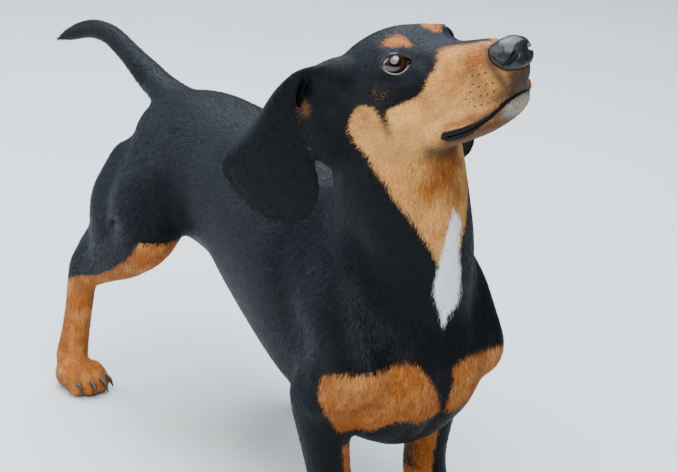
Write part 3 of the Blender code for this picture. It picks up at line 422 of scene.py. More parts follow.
def tail():
    return [limb("tail", [
        (0.000, 0.372, 0.246, 0.023, 0.018, 0.022),
        (0.000, 0.400, 0.248, 0.0190, 0.0155, 0.0190),
        (-0.002, 0.435, 0.257, 0.0145, 0.0125, 0.0145),
        (-0.004, 0.480, 0.272, 0.0110, 0.0100, 0.0110),
        (-0.006, 0.515, 0.283, 0.0100, 0.0095, 0.0100),
        (-0.010, 0.545, 0.283, 0.0095, 0.0090, 0.0095),
        (-0.016, 0.572, 0.274, 0.0075, 0.0070, 0.0080),
        (-0.021, 0.588, 0.266, 0.0035, 0.0035, 0.0040),
    ], UP)]


def eye_frame(side):
    """The centre of an eyeball, its outward axis, the way along its slit towards the nose, and its up."""
    ahead, out, up = EYE_CENTRE
    centre = at_head(ahead, side * out, up)
    axis = (HEAD_FORWARD * EYE_AXIS[0] + HEAD_LEFT * side * EYE_AXIS[1] + HEAD_UP * EYE_AXIS[2]).normalized()
    along = (HEAD_FORWARD - axis * HEAD_FORWARD.dot(axis)).normalized()
    up = along.cross(axis)
    if up.dot(HEAD_UP) < 0:
        up.negate()
    return centre, axis, along, up


def head_forms():
    forms = [
        trunk("skull", SKULL, HEAD_ORIGIN, HEAD_FORWARD, HEAD_UP),
        trunk("jaw", JAW, HEAD_ORIGIN, HEAD_FORWARD, HEAD_UP),
    ]
    turn = Matrix((HEAD_FORWARD, HEAD_LEFT, HEAD_UP)).transposed()
    for side in (-1, 1):
        centre = eye_frame(side)[0]
        lids = EYE_RADIUS + LID_THICKNESS
        forms.append(bulge("lids", centre, (lids, lids, lids)))
        root_up = EAR_ROOT_UP[side]
        forms.append(bulge("ear_root", at_head(-0.058, side * 0.033, root_up), (0.022, 0.013, 0.015), turn))
        forms.append(bulge("ear_muscle", at_head(-0.076, side * 0.033, -0.030), (0.026, 0.024, 0.034), turn))
        forms.append(bulge("cheek", at_head(-0.024, side * 0.0325, -0.037), (0.030, 0.0115, 0.022), turn))
        forms.append(bulge("flew", at_head(0.040, side * 0.0170, -0.0435), (0.024, 0.0060, 0.0105), turn))
    return forms


def body_forms():
    forms = [trunk("chest_and_loin", TORSO, Vector(), -FORWARD, UP)]
    forms.append(limb("neck", NECK, FORWARD, ends=(0.3, 0.5)))
    forms += head_forms()
    forms += tail()
    for side, joints in FRONT_LEGS.items():
        forms += front_leg(side, *map(Vector, joints))
    for side, joints in HIND_LEGS.items():
        forms += hind_leg(side, *map(Vector, joints))
    for side, centre, out_turn, size in PAWS.values():
        forms += paw(side, centre, out_turn, size)
    return forms


def applied(name, made):
    """The object's shape with its modifiers worked in, as a new object."""
    bpy.context.view_layer.update()
    graph = bpy.context.evaluated_depsgraph_get()
    data = bpy.data.meshes.new_from_object(made.evaluated_get(graph))
    bpy.data.objects.remove(made)
    done = bpy.data.objects.new(name, data)
    bpy.context.scene.collection.objects.link(done)
    return done


def fuse(name, forms, voxel):
    """The forms as one closed skin, rebuilt on a fine grid."""
    bpy.context.view_layer.update()
    bpy.ops.object.select_all(action="DESELECT")
    for form in forms:
        form.select_set(True)
    bpy.context.view_layer.objects.active = forms[0]
    bpy.ops.object.join()
    body = bpy.context.view_layer.objects.active
    grid = body.modifiers.new("Skin", "REMESH")
    grid.mode = "VOXEL"
    grid.voxel_size = voxel
    return applied(name, body)


def faced_out(made):
    mesh = bmesh.new()
    mesh.from_mesh(made.data)
    bmesh.ops.recalc_face_normals(mesh, faces=mesh.faces)
    mesh.to_mesh(made.data)
    mesh.free()
    return made


def points_of(made):
    flat = np.empty(len(made.data.vertices) * 3)
    made.data.vertices.foreach_get("co", flat)
    return flat.reshape(-1, 3)


def put_points(made, points):
    made.data.vertices.foreach_set("co", points.reshape(-1))
    made.data.update()


def near_line(points, line, radius):
    """One on a bent line, falling to nothing about two radii away from it."""
    best = np.full(len(points), 1e9)
    for a, b in zip(line, line[1:]):
        a, b = np.array(a), np.array(b)
        way = b - a
        t = np.clip(((points - a) @ way) / (way @ way), 0, 1)
        gap = points - a - t[:, None] * way
        best = np.minimum(best, (gap**2).sum(1))
    return np.exp(-best / radius**2)


def soften(made, weights, rounds):
    """Smooths the skin where weights are near one and leaves it where they are near zero."""
    edges = np.empty(len(made.data.edges) * 2, int)
    made.data.edges.foreach_get("vertices", edges)
    a, b = edges.reshape(-1, 2).T
    points = points_of(made)
    count = np.bincount(a, minlength=len(points)) + np.bincount(b, minlength=len(points))
    pull = (0.6 * weights)[:, None]
    for _ in range(rounds):
        total = np.zeros_like(points)
        for axis in range(3):
            total[:, axis] = np.bincount(a, points[b, axis], len(points))
            total[:, axis] += np.bincount(b, points[a, axis], len(points))
        points += pull * (total / count[:, None] - points)
    put_points(made, points)


def normals_of(made):
    flat = np.empty(len(made.data.vertices) * 3)
    made.data.vertices.foreach_get("normal", flat)
    return flat.reshape(-1, 3)


def skin_weights(points):
    """How freely each part of the skin is smoothed: least on toes and face, most on the trunk."""
    weights = np.ones(len(points))
    weights -= 0.75 * np.clip((0.045 - points[:, 2]) / 0.02, 0, 1)
    ahead = (points - np.array(HEAD_ORIGIN)) @ np.array(HEAD_FORWARD)
    up = (points - np.array(HEAD_ORIGIN)) @ np.array(HEAD_UP)
    face = np.clip((ahead + 0.02) / 0.02, 0, 1) * np.clip((up + 0.085) / 0.02, 0, 1)
    weights -= 0.72 * face
    return np.clip(weights, 0.05, 1)


def leaf(name, rows, thickness, across=8, step=0.0085):
    """An ear: a bent sheet through rows of three points, given its thickness."""
    rows = np.array(rows, float).reshape(len(rows), 9)
    rows = through(rows, step)
    mesh = bmesh.new()
    grid = []
    for row in rows:
        front, middle, rear = row[:3], row[3:6], row[6:]
        line = []
        for t in np.linspace(0, 1, across):
            point = front * (1 - t) * (1 - 2 * t) + middle * 4 * t * (1 - t) + rear * t * (2 * t - 1)
            line.append(mesh.verts.new(point))
        grid.append(line)
    for low, high in zip(grid, grid[1:]):
        for k in range(across - 1):
            mesh.faces.new((low[k], low[k + 1], high[k + 1], high[k]))
    data = bpy.data.meshes.new(name)
    mesh.to_mesh(data)
    mesh.free()
    made = bpy.data.objects.new(name, data)
    bpy.context.scene.collection.objects.link(made)
    sheet = made.modifiers.new("Thickness", "SOLIDIFY")
    sheet.thickness = thickness
    sheet.offset = 0
    return faced_out(applied(name, made))


def swell(made, points_and_amounts):
    """Pushes the skin out, or in where the amount is below zero, round each listed point or line."""
    points, normals = points_of(made), normals_of(made)
    push = np.zeros(len(points))
    for line, radius, amount in points_and_amounts:
        push += amount * near_line(points, line, radius)
    put_points(made, points + normals * push[:, None])


def in_head(side, *spots):
    return [tuple(at_head(a, side * l, u)) for a, l, u in spots]


def modelling():
    """The muscles, hollows and folds that show under the skin, as places, reach and height."""
    found = []
    for side in (-1, 1):
        found += [
            (in_head(side, *BROW), 0.0065, 0.0017),
            (in_head(side, (0.016, 0.0205, -0.001), (0.026, 0.0195, -0.009)), 0.0080, -0.0013),
            (in_head(side, (-0.030, 0.024, 0.023), (-0.052, 0.020, 0.019)), 0.0120, 0.0010),
            (in_head(side, *CHEEKBONE), 0.0070, 0.0012),
            (in_head(side, (0.010, 0.034, -0.030), (0.026, 0.026, -0.040)), 0.0075, -0.0011),
            (in_head(side, (0.013, 0.033, -0.052), (0.004, 0.032, -0.058)), 0.0050, 0.0011),
            (in_head(side, *[(a, l, u + 0.0050) for a, l, u in MOUTH[:6]]), 0.0042, 0.0010),
            (in_head(side, *[(a, l, u - 0.0045) for a, l, u in MOUTH[:6]]), 0.0035, 0.0006),
            (in_head(side, (0.064, 0.016, -0.030), (0.074, 0.014, -0.033)), 0.0080, 0.0007),
            ([(side * x, y, z) for x, y, z in NECK_FURROW], 0.0120, -0.0035),
            ([(side * 0.050, 0.030, 0.165), (side * 0.048, 0.030, 0.135)], 0.0140, 0.0020),
            ([(side * 0.030, 0.022, 0.150), (side * 0.028, 0.030, 0.112)], 0.0140, 0.0020),
            ([(side * 0.076, 0.118, 0.170), (side * 0.070, 0.135, 0.215)], 0.0120, -0.0018),
            ([(side * 0.045, 0.300, 0.215), (side * 0.050, 0.310, 0.165)], 0.0140, -0.0022),
            ([(side * 0.066, 0.375, 0.215), (side * 0.074, 0.360, 0.170)], 0.0180, 0.0020),
        ]
    found.append((in_head(1, (-0.012, 0, 0.022), (0.012, 0, 0.012)), 0.0050, -0.0008))
    found.append(([(0, 0.020, 0.140), (0, 0.030, 0.105), (0, 0.050, 0.085)], 0.0070, -0.0022))
    found.append(([(0, 0.016, 0.190), (0, 0.020, 0.168)], 0.0110, -0.0020))
    found.append(([(0, 0.110, 0.262), (0, 0.250, 0.268), (0, 0.350, 0.270)], 0.0140, -0.0008))
    return found


def cut(made, cutter, operation="DIFFERENCE"):
    """The object less the cutter, or only what lies inside the cutter; its largest surface is kept."""
    act = made.modifiers.new("Cut", "BOOLEAN")
    act.operation = operation
    act.object = cutter
    before = len(made.data.polygons)
    for solver in ("MANIFOLD", "EXACT"):
        act.solver = solver
        bpy.context.view_layer.update()
        graph = bpy.context.evaluated_depsgraph_get()
        left = len(made.evaluated_get(graph).data.polygons)
        if left > 3 and left != before:
            break
    name = made.name
    done = largest(applied(name, made))
    done.name = name
    bpy.data.objects.remove(cutter)
    return done


def largest(made):
    """Keeps only the largest closed surface of a mesh."""
    mesh = bmesh.new()
    mesh.from_mesh(made.data)
    bmesh.ops.remove_doubles(mesh, verts=mesh.verts, dist=0.000002)
    seen, groups = set(), []
    for start in mesh.faces:
        if start in seen:
            continue
        group, todo = [], [start]
        seen.add(start)
        while todo:
            face = todo.pop()
            group.append(face)
            for edge in face.edges:
                for other in edge.link_faces:
                    if other not in seen:
                        seen.add(other)
                        todo.append(other)
        groups.append(group)
    groups.sort(key=lambda g: -sum(f.calc_area() for f in g))
    bmesh.ops.delete(mesh, geom=[f for g in groups[1:] for f in g], context="FACES")
    mesh.to_mesh(made.data)
    mesh.free()
    return made


def almond(name, side, reach):
    """The opening between the lids, as a block along the eye's axis."""
    centre, axis, along, up = eye_frame(side)
    mesh = bmesh.new()
    rows = []
    for depth in (0.0035, reach):
        row = []
        for k in range(24):
            angle = 2 * math.pi * k / 24
            c, s = math.cos(angle), math.sin(angle)
            wide = 0.0105 if c > 0 else 0.0088
            tall = (0.0070 if s > 0 else 0.0068) * (1 - 0.55 * max(c, 0) ** 2)
            point = centre + axis * depth + along * c * wide + up * (s * tall - 0.0010 * c)
            row.append(mesh.verts.new(point))
        rows.append(row)
    for k in range(24):
        n = (k + 1) % 24
        mesh.faces.new((rows[0][k], rows[0][n], rows[1][n], rows[1][k]))
    mesh.faces.new(rows[0])
    mesh.faces.new(rows[1])
    bmesh.ops.recalc_face_normals(mesh, faces=mesh.faces)
    data = bpy.data.meshes.new(name)
    mesh.to_mesh(data)
    mesh.free()
    made = bpy.data.objects.new(name, data)
    bpy.context.scene.collection.objects.link(made)
    return made


def mouth_blade():
    """A thin ribbon along the line of the mouth, from one corner round to the other."""
    right = [at_head(a, -l, u) for a, l, u in MOUTH]
    left = [at_head(a, l, u) for a, l, u in MOUTH[:-1]]
    path = right + left[::-1]
    rows = [(*p, 0.0042, 0.0005, 0.0005) for p in path]
    return limb("mouth_line", rows, HEAD_UP, sides=8, domes=(60,))


def nostril(side):
    """The hole of a nostril and the slit that runs back from it under the wing."""
    rows = [(*at_head(a, side * l, u), w, h, h) for a, l, u, w, h in NOSTRIL]
    return limb("nostril", rows, HEAD_UP, sides=12, domes=(70, 35))


PAWS = {
    "fore_right": (-1, Vector((-0.0515, 0.066, 0.0135)), 8, 1.0),
    "fore_left": (1, Vector((0.0415, 0.078, 0.0135)), 8, 1.0),
    "hind_right": (-1, Vector((-0.0800, 0.437, 0.0130)), 10, 0.93),
    "hind_left": (1, Vector((0.071, 0.297, 0.0130)), 5, 0.93),
}


# The camera, as it stood for the photograph. Its focal length is in pixels of the picture.
PHOTO_WIDE = 678
PHOTO_HIGH = 472
SENSOR_MM = 36.0
VIEW_AIM = Vector((0.0, 0.15, 0.20))
VIEW_AZIMUTH = -33.4
VIEW_HEIGHT = 18.5
VIEW_ROLL = 1.8
VIEW_DISTANCE = 1.58
VIEW_FOCUS_PX = 2140.0
VIEW_SLIDE = (-0.005, 0.008)

# Edges of the markings, read in the picture as pixels from its top left corner.
FACE_TAN_PX = (
    (505, 26), (497, 33), (488, 39.5), (478.5, 42.5), (468, 44.7), (457, 45.4), (446, 47.8), (439.5, 51), (437.5, 56),
    (437.5, 62), (435, 70.5), (429, 76), (426.5, 83.5), (423, 91), (417.5, 97), (411, 100), (402.5, 103.5), (392, 107.5),
    (387.5, 110), (387, 118), (388.5, 127), (384, 122), (379.5, 114), (374, 107), (367, 105), (360, 106), (355, 110),
    (351, 119), (349, 128), (354, 139),
    (366, 153), (377, 169), (391, 189), (407, 212), (425, 237), (439, 262), (450, 275), (480, 280), (600, 280), (600, 20),
)
BROW_TAN_PX = (
    (384.5, 46), (386.5, 42), (390, 38.2), (395, 36.2), (401.5, 36), (406.5, 39), (410, 43), (412, 46), (408.5, 46.6),
    (403, 44.8), (399, 46.2), (391.5, 46.6),
)
FAR_BROW_TAN_PX = (
    (420.5, 24), (422, 18), (431, 15), (438, 16), (440, 24), (441.5, 30.5), (437, 32.5), (431, 30.5), (425.5, 27.5),
)
EAR_GLOW_PX = ((301.5, 99), (305, 99), (310, 107), (311, 111), (308, 114), (304.5, 115), (303, 109))
BLAZE_WHITE_PX = (
    (453.5, 207), (459, 213), (461, 222), (458.5, 240), (460, 264), (461, 284), (458, 298), (453, 307), (447, 316),
    (443, 325), (440, 311), (435.5, 299), (434, 284), (437.5, 269), (441, 256), (445, 239), (449, 222),
)
BREAST_RIGHT_TAN_PX = (
    (323, 374), (332, 372.5), (350, 373.5), (374, 372), (389, 365), (400, 361.5), (414, 362), (424.5, 370), (434, 383),
    (439.5, 396), (440, 407), (433, 414.5), (419, 420.5), (400, 421), (382, 426), (370.5, 430.5), (357, 428.5),
    (344, 431.5), (338, 431), (331, 421), (324, 409), (319.5, 390.5),
)
BREAST_LEFT_TAN_PX = (
    (453, 365), (463.5, 357), (478.5, 349.5), (493.5, 344.5), (506, 343), (505, 360), (493, 374), (478, 388.5),
    (467.5, 400), (456, 408), (446, 408), (449, 398), (453, 381),
)
SPECKLE_PX = (381, 95)
# Soft dark places on the tan: a line of pixels, how wide each fades, and how strong it is. The lines under and along
# the jaw, down the throat and behind the nose are painted shade, the one over the front of the lip is dark hair and
# painted shade, and the streak below the eye and the lip corner are dark hair and skin.
SOFT_DARKS_AND_SHADE_PX = (
    (((378, 104), (384, 118), (390, 132)), 3.8, 0.72),
    (((508, 126), (482, 140), (456, 149), (430, 153)), 7.5, 0.85),
    (((508, 117), (495, 124), (480, 131), (462, 139), (448, 144)), 8.5, 0.80),
    (((470, 150), (462, 160), (455, 172)), 9.0, 0.60),
    (((489, 50), (490, 62), (498, 76), (508, 88)), 7.5, 0.92),
    (((515, 82), (507, 92), (496, 99)), 9.0, 0.88),
    (((470, 68), (480, 84), (484, 100)), 9.0, 0.40),
    (((446, 127), (459, 123), (474, 117)), 3.2, 0.55),
)
# Places under the jaw and down the throat where the tan is redder and darker, as painted shade, in the same way.
WARM_SHADE_PX = ((((505, 120), (480, 133), (455, 146), (440, 172), (428, 190)), 16.0, 0.75),)
# Pores of the whiskers on the upper lip.
PORES_PX = (
    (472.5, 76), (479, 74.5), (485.5, 73), (472.7, 84.3), (478.9, 87), (486, 84.3), (492.8, 83.4), (470.4, 92.3),
    (480.7, 95.9), (487.4, 94.1), (494.1, 91.4), (466, 99), (474, 98.6), (481.6, 104.8), (488.3, 103), (474.5, 106.2),
)
# Folds of the face that are finer than its bones: a line of pixels, reach and height in metres.
FACE_FOLDS_PX = (
    (((465, 78), (458, 94), (447, 112)), 0.0040, -0.00075),
    (((476, 92), (468, 106), (462, 116)), 0.0060, 0.00070),
    (((452, 108), (436, 118), (415, 133)), 0.0048, -0.00060),
    (((380, 80), (391, 83), (403, 81), (412, 75)), 0.0024, -0.00045),
    (((379, 85), (391, 89), (405, 87)), 0.0028, 0.00040),
    (((420, 60), (428, 68), (433, 80)), 0.0036, -0.00050),
    (((361, 124), (361.2, 124)), 0.0026, 0.0011),
    (((418, 147), (418.2, 147)), 0.0030, 0.0013),
    (((380, 120), (398, 128), (415, 126)), 0.0080, 0.00060),
    (((455, 150), (452, 165), (448, 185)), 0.0050, 0.00070),
    (((445, 152), (441, 168), (437, 188)), 0.0045, -0.00060),
    (((227, 168), (236, 187), (250, 200), (268, 207)), 0.0022, -0.00050),
    (((246, 197), (258, 203), (270, 206)), 0.0020, 0.00045),
)
HEAD_PIXEL = 0.00065
BODY_PIXEL = 0.00074

# How the hair lies: a place on the dog, and the way the hair runs there.
HAIR_LIE = (
    ((0.000, 0.015, 0.265), (0.00, 0.10, -1.00)),
    ((0.000, 0.015, 0.200), (0.00, 0.00, -1.00)),
    ((0.000, 0.020, 0.140), (0.00, 0.10, -1.00)),
    ((0.000, 0.060, 0.080), (0.00, 0.90, -0.30)),
    ((0.040, 0.065, 0.280), (0.00, 0.45, -0.90)),
    ((0.050, 0.070, 0.215), (0.00, 0.45, -0.90)),
    ((0.000, 0.130, 0.290), (0.00, 0.60, -0.80)),
    ((0.000, 0.150, 0.262), (0.00, 1.00, -0.20)),
    ((0.068, 0.095, 0.180), (0.00, 0.40, -0.90)),
    ((0.060, 0.090, 0.110), (0.00, 0.25, -0.95)),
    ((0.072, 0.180, 0.180), (0.00, 0.85, -0.50)),
    ((0.040, 0.200, 0.250), (0.00, 0.95, -0.30)),
    ((0.000, 0.280, 0.268), (0.00, 1.00, -0.05)),
    ((0.056, 0.280, 0.190), (0.00, 0.75, -0.65)),
    ((0.000, 0.220, 0.100), (0.00, 1.00, 0.15)),
    ((0.000, 0.410, 0.262), (0.00, 0.90, -0.10)),
    ((0.000, 0.440, 0.220), (0.00, 0.20, -1.00)),
    ((0.070, 0.360, 0.210), (0.00, 0.45, -0.90)),
    ((0.075, 0.350, 0.160), (0.00, 0.50, -0.85)),
    ((0.060, 0.400, 0.140), (0.00, 0.50, -0.85)),
    ((0.045, 0.085, 0.060), (0.00, 0.05, -1.00)),
    ((0.045, 0.070, 0.015), (0.00, -0.60, -0.80)),
    ((0.072, 0.440, 0.070), (0.00, 0.10, -1.00)),
    ((0.072, 0.330, 0.070), (0.00, 0.10, -1.00)),
    ((0.000, 0.500, 0.275), (0.00, 1.00, 0.15)),
    ((0.000, 0.570, 0.275), (0.00, 1.00, -0.40)),
)
LIE_REACH = 0.045
# Half the width of the black on the far side of the bridge, at each distance ahead in the head's own frame.
BRIDGE_BLACK = ((0.010, 0.0160), (0.026, 0.0098), (0.040, 0.0090), (0.052, 0.0068), (0.059, 0.0022), (0.063, 0.0))


def view_axes():
    """Right, up and back of the camera."""
    turn, rise, roll = math.radians(VIEW_AZIMUTH), math.radians(VIEW_HEIGHT), math.radians(VIEW_ROLL)
    back = Vector((math.sin(turn) * math.cos(rise), -math.cos(turn) * math.cos(rise), math.sin(rise)))
    level = Vector((math.cos(turn), math.sin(turn), 0))
    upright = back.cross(level)
    right = level * math.cos(roll) + upright * math.sin(roll)
    up = upright * math.cos(roll) - level * math.sin(roll)
    return right, up, back


VIEW_RIGHT, VIEW_UP, VIEW_BACK = view_axes()
VIEW_PLACE = VIEW_AIM + VIEW_BACK * VIEW_DISTANCE + VIEW_RIGHT * VIEW_SLIDE[0] + VIEW_UP * VIEW_SLIDE[1]


def in_picture(points):
    """Where points of the dog fall in the photograph, in pixels."""
    gap = points - np.array(VIEW_PLACE)
    depth = -(gap @ np.array(VIEW_BACK))
    x = PHOTO_WIDE / 2 + VIEW_FOCUS_PX * (gap @ np.array(VIEW_RIGHT)) / depth
    y = PHOTO_HIGH / 2 - VIEW_FOCUS_PX * (gap @ np.array(VIEW_UP)) / depth
    return np.stack([x, y], 1)


def depth_inside(spots, outline, step=5.0):
    """How far each spot lies inside a closed outline, below zero outside it, in pixels."""
    outline = through(list(outline) + [outline[0]], step)
    best = np.full(len(spots), 1e9)
    inside = np.zeros(len(spots), bool)
    for (x0, y0), (x1, y1) in zip(outline[:-1], outline[1:]):
        way = np.array((x1 - x0, y1 - y0))
        gap = spots - np.array((x0, y0))
        t = np.clip((gap @ way) / (way @ way), 0, 1)
        best = np.minimum(best, ((gap - t[:, None] * way) ** 2).sum(1))
        if y0 != y1:
            crosses = (y0 > spots[:, 1]) != (y1 > spots[:, 1])
            inside ^= crosses & (spots[:, 0] < x0 + (spots[:, 1] - y0) * (x1 - x0) / (y1 - y0))
    return np.sqrt(best) * np.where(inside, 1, -1)


def smooth_step(values, low, high):
    t = np.clip((values - low) / (high - low), 0, 1)
    return t * t * (3 - 2 * t)


def rough(points, scale, seed):
    """Smooth random values from 0 to 1, with bumps about scale wide."""
    place = points / scale
    base = np.floor(place).astype(np.int64)
    part = place - base
    part = part * part * (3 - 2 * part)
    total = np.zeros(len(points))
    for corner in np.ndindex(2, 2, 2):
        cell = base + np.array(corner)
        mixed = (cell[:, 0] * 73856093) ^ (cell[:, 1] * 19349663) ^ (cell[:, 2] * 83492791) ^ (seed * 2654435761)
        mixed = ((mixed ^ (mixed >> 13)) * 1274126177) & 0xFFFFFFFF
        share = np.prod(np.where(np.array(corner), part, 1 - part), axis=1)
        total += share * ((mixed >> 8) & 0xFFFF) / 65535
    return total


def unit(vectors):
    return vectors / np.maximum(np.linalg.norm(vectors, axis=1), 1e-9)[:, None]


def head_share(points):
    """One on the head, falling to nothing on the neck."""
    way = np.array(Vector((-0.05, -0.27, 0.96)).normalized())
    return smooth_step((points - np.array((-0.028, 0.060, 0.316))) @ way, -0.016, 0.010)


def in_head_frame(points):
    gap = points - np.array(HEAD_ORIGIN)
    return gap @ np.array(HEAD_FORWARD), gap @ np.array(HEAD_LEFT), gap @ np.array(HEAD_UP)


def on_right(points):
    """Each point carried to the dog's right side, mirrored in the middle plane of its head or neck."""
    share = head_share(points)[:, None]
    out = in_head_frame(points)[1]
    middle = np.interp(points[:, 2], [row[2] for row in NECK], [row[0] for row in NECK])
    side = unit(share * np.array(HEAD_LEFT) + (1 - share) * np.array((1.0, 0, 0)))
    off = share[:, 0] * out + (1 - share[:, 0]) * (points[:, 0] - middle)
    return points - 2 * np.maximum(off, 0)[:, None] * side


def lie_of(points, normals, ear_share):
    """The way the hair runs at each point, along the skin."""
    folded = points.copy()
    folded[:, 0] = np.abs(folded[:, 0])
    total = np.zeros_like(points)
    for place, way in HAIR_LIE:
        gap = ((folded - np.array(place)) ** 2).sum(1)
        total += np.exp(-gap / LIE_REACH**2)[:, None] * np.array(way)
    total = unit(total)
    ahead, out, up = in_head_frame(points)
    back = -np.array(HEAD_FORWARD) * 1.0 - np.array(HEAD_UP) * 0.25
    share = head_share(points)[:, None]
    total = unit(total * (1 - share) + unit(back[None])[0] * share)
    down = np.array((0.0, 0.25, -1.0))
    total = unit(total * (1 - ear_share[:, None]) + down * ear_share[:, None])
    total -= normals * (total * normals).sum(1)[:, None]
    return unit(total)


def leg_middle(side, z):
    """The middle of the fore and hind leg on one side at a height, as x and y of each."""
    heights = (0.022, 0.042, 0.118, 0.150)
    fore = {-1: ((-0.0505, -0.0495, -0.0595, -0.0545), (0.078, 0.084, 0.092, 0.060)),
            1: ((0.0405, 0.0405, 0.0535, 0.0510), (0.090, 0.096, 0.102, 0.060))}[side]
    hind_heights = {-1: (0.024, 0.103, 0.158, 0.212), 1: (0.024, 0.090, 0.158, 0.212)}[side]
    hind = {-1: ((-0.079, -0.070, -0.058, -0.040), (0.450, 0.441, 0.370, 0.385)),
            1: ((0.070, 0.066, 0.060, 0.040), (0.312, 0.345, 0.310, 0.375))}[side]
    return [np.interp(z, heights, row) for row in fore], [np.interp(z, hind_heights, row) for row in hind]


def leg_tan(points, normals):
    """How far inside the tan of the legs each point lies, in metres."""
    x, y, z = points.T
    depth = np.full(len(points), -0.02)
    for side in (-1, 1):
        (fore_x, fore_y), (hind_x, hind_y) = leg_middle(side, z)
        here = (x * side > 0.024) & (z < 0.16)
        fore = here & (y < 0.145)
        inward = -side * (x - fore_x)
        inner = np.minimum(inward - 0.0035, 0.5 * (x * side - 0.027))
        foot = 0.037 - z + 0.25 * inward
        value = np.maximum(np.minimum(inner, 0.082 - z), foot)
        depth = np.where(fore, value, depth)
        hind = here & (y >= 0.265) & (z < 0.200)
        inward = -side * (x - hind_x)
        edge = (normals @ np.array((-0.15 * side, -0.62, -0.76)) - 0.28) * 0.022
        edge = np.minimum(edge, 0.185 - z)
        inner = np.minimum((-side * normals[:, 0] - 0.35) * 0.02, 0.170 - z)
        inner = np.minimum(inner, 0.5 * inward)
        foot = 0.098 - z + 0.5 * (hind_y - y)
        value = np.maximum(np.maximum(edge, inner), foot)
        depth = np.where(hind, value, depth)
    return depth


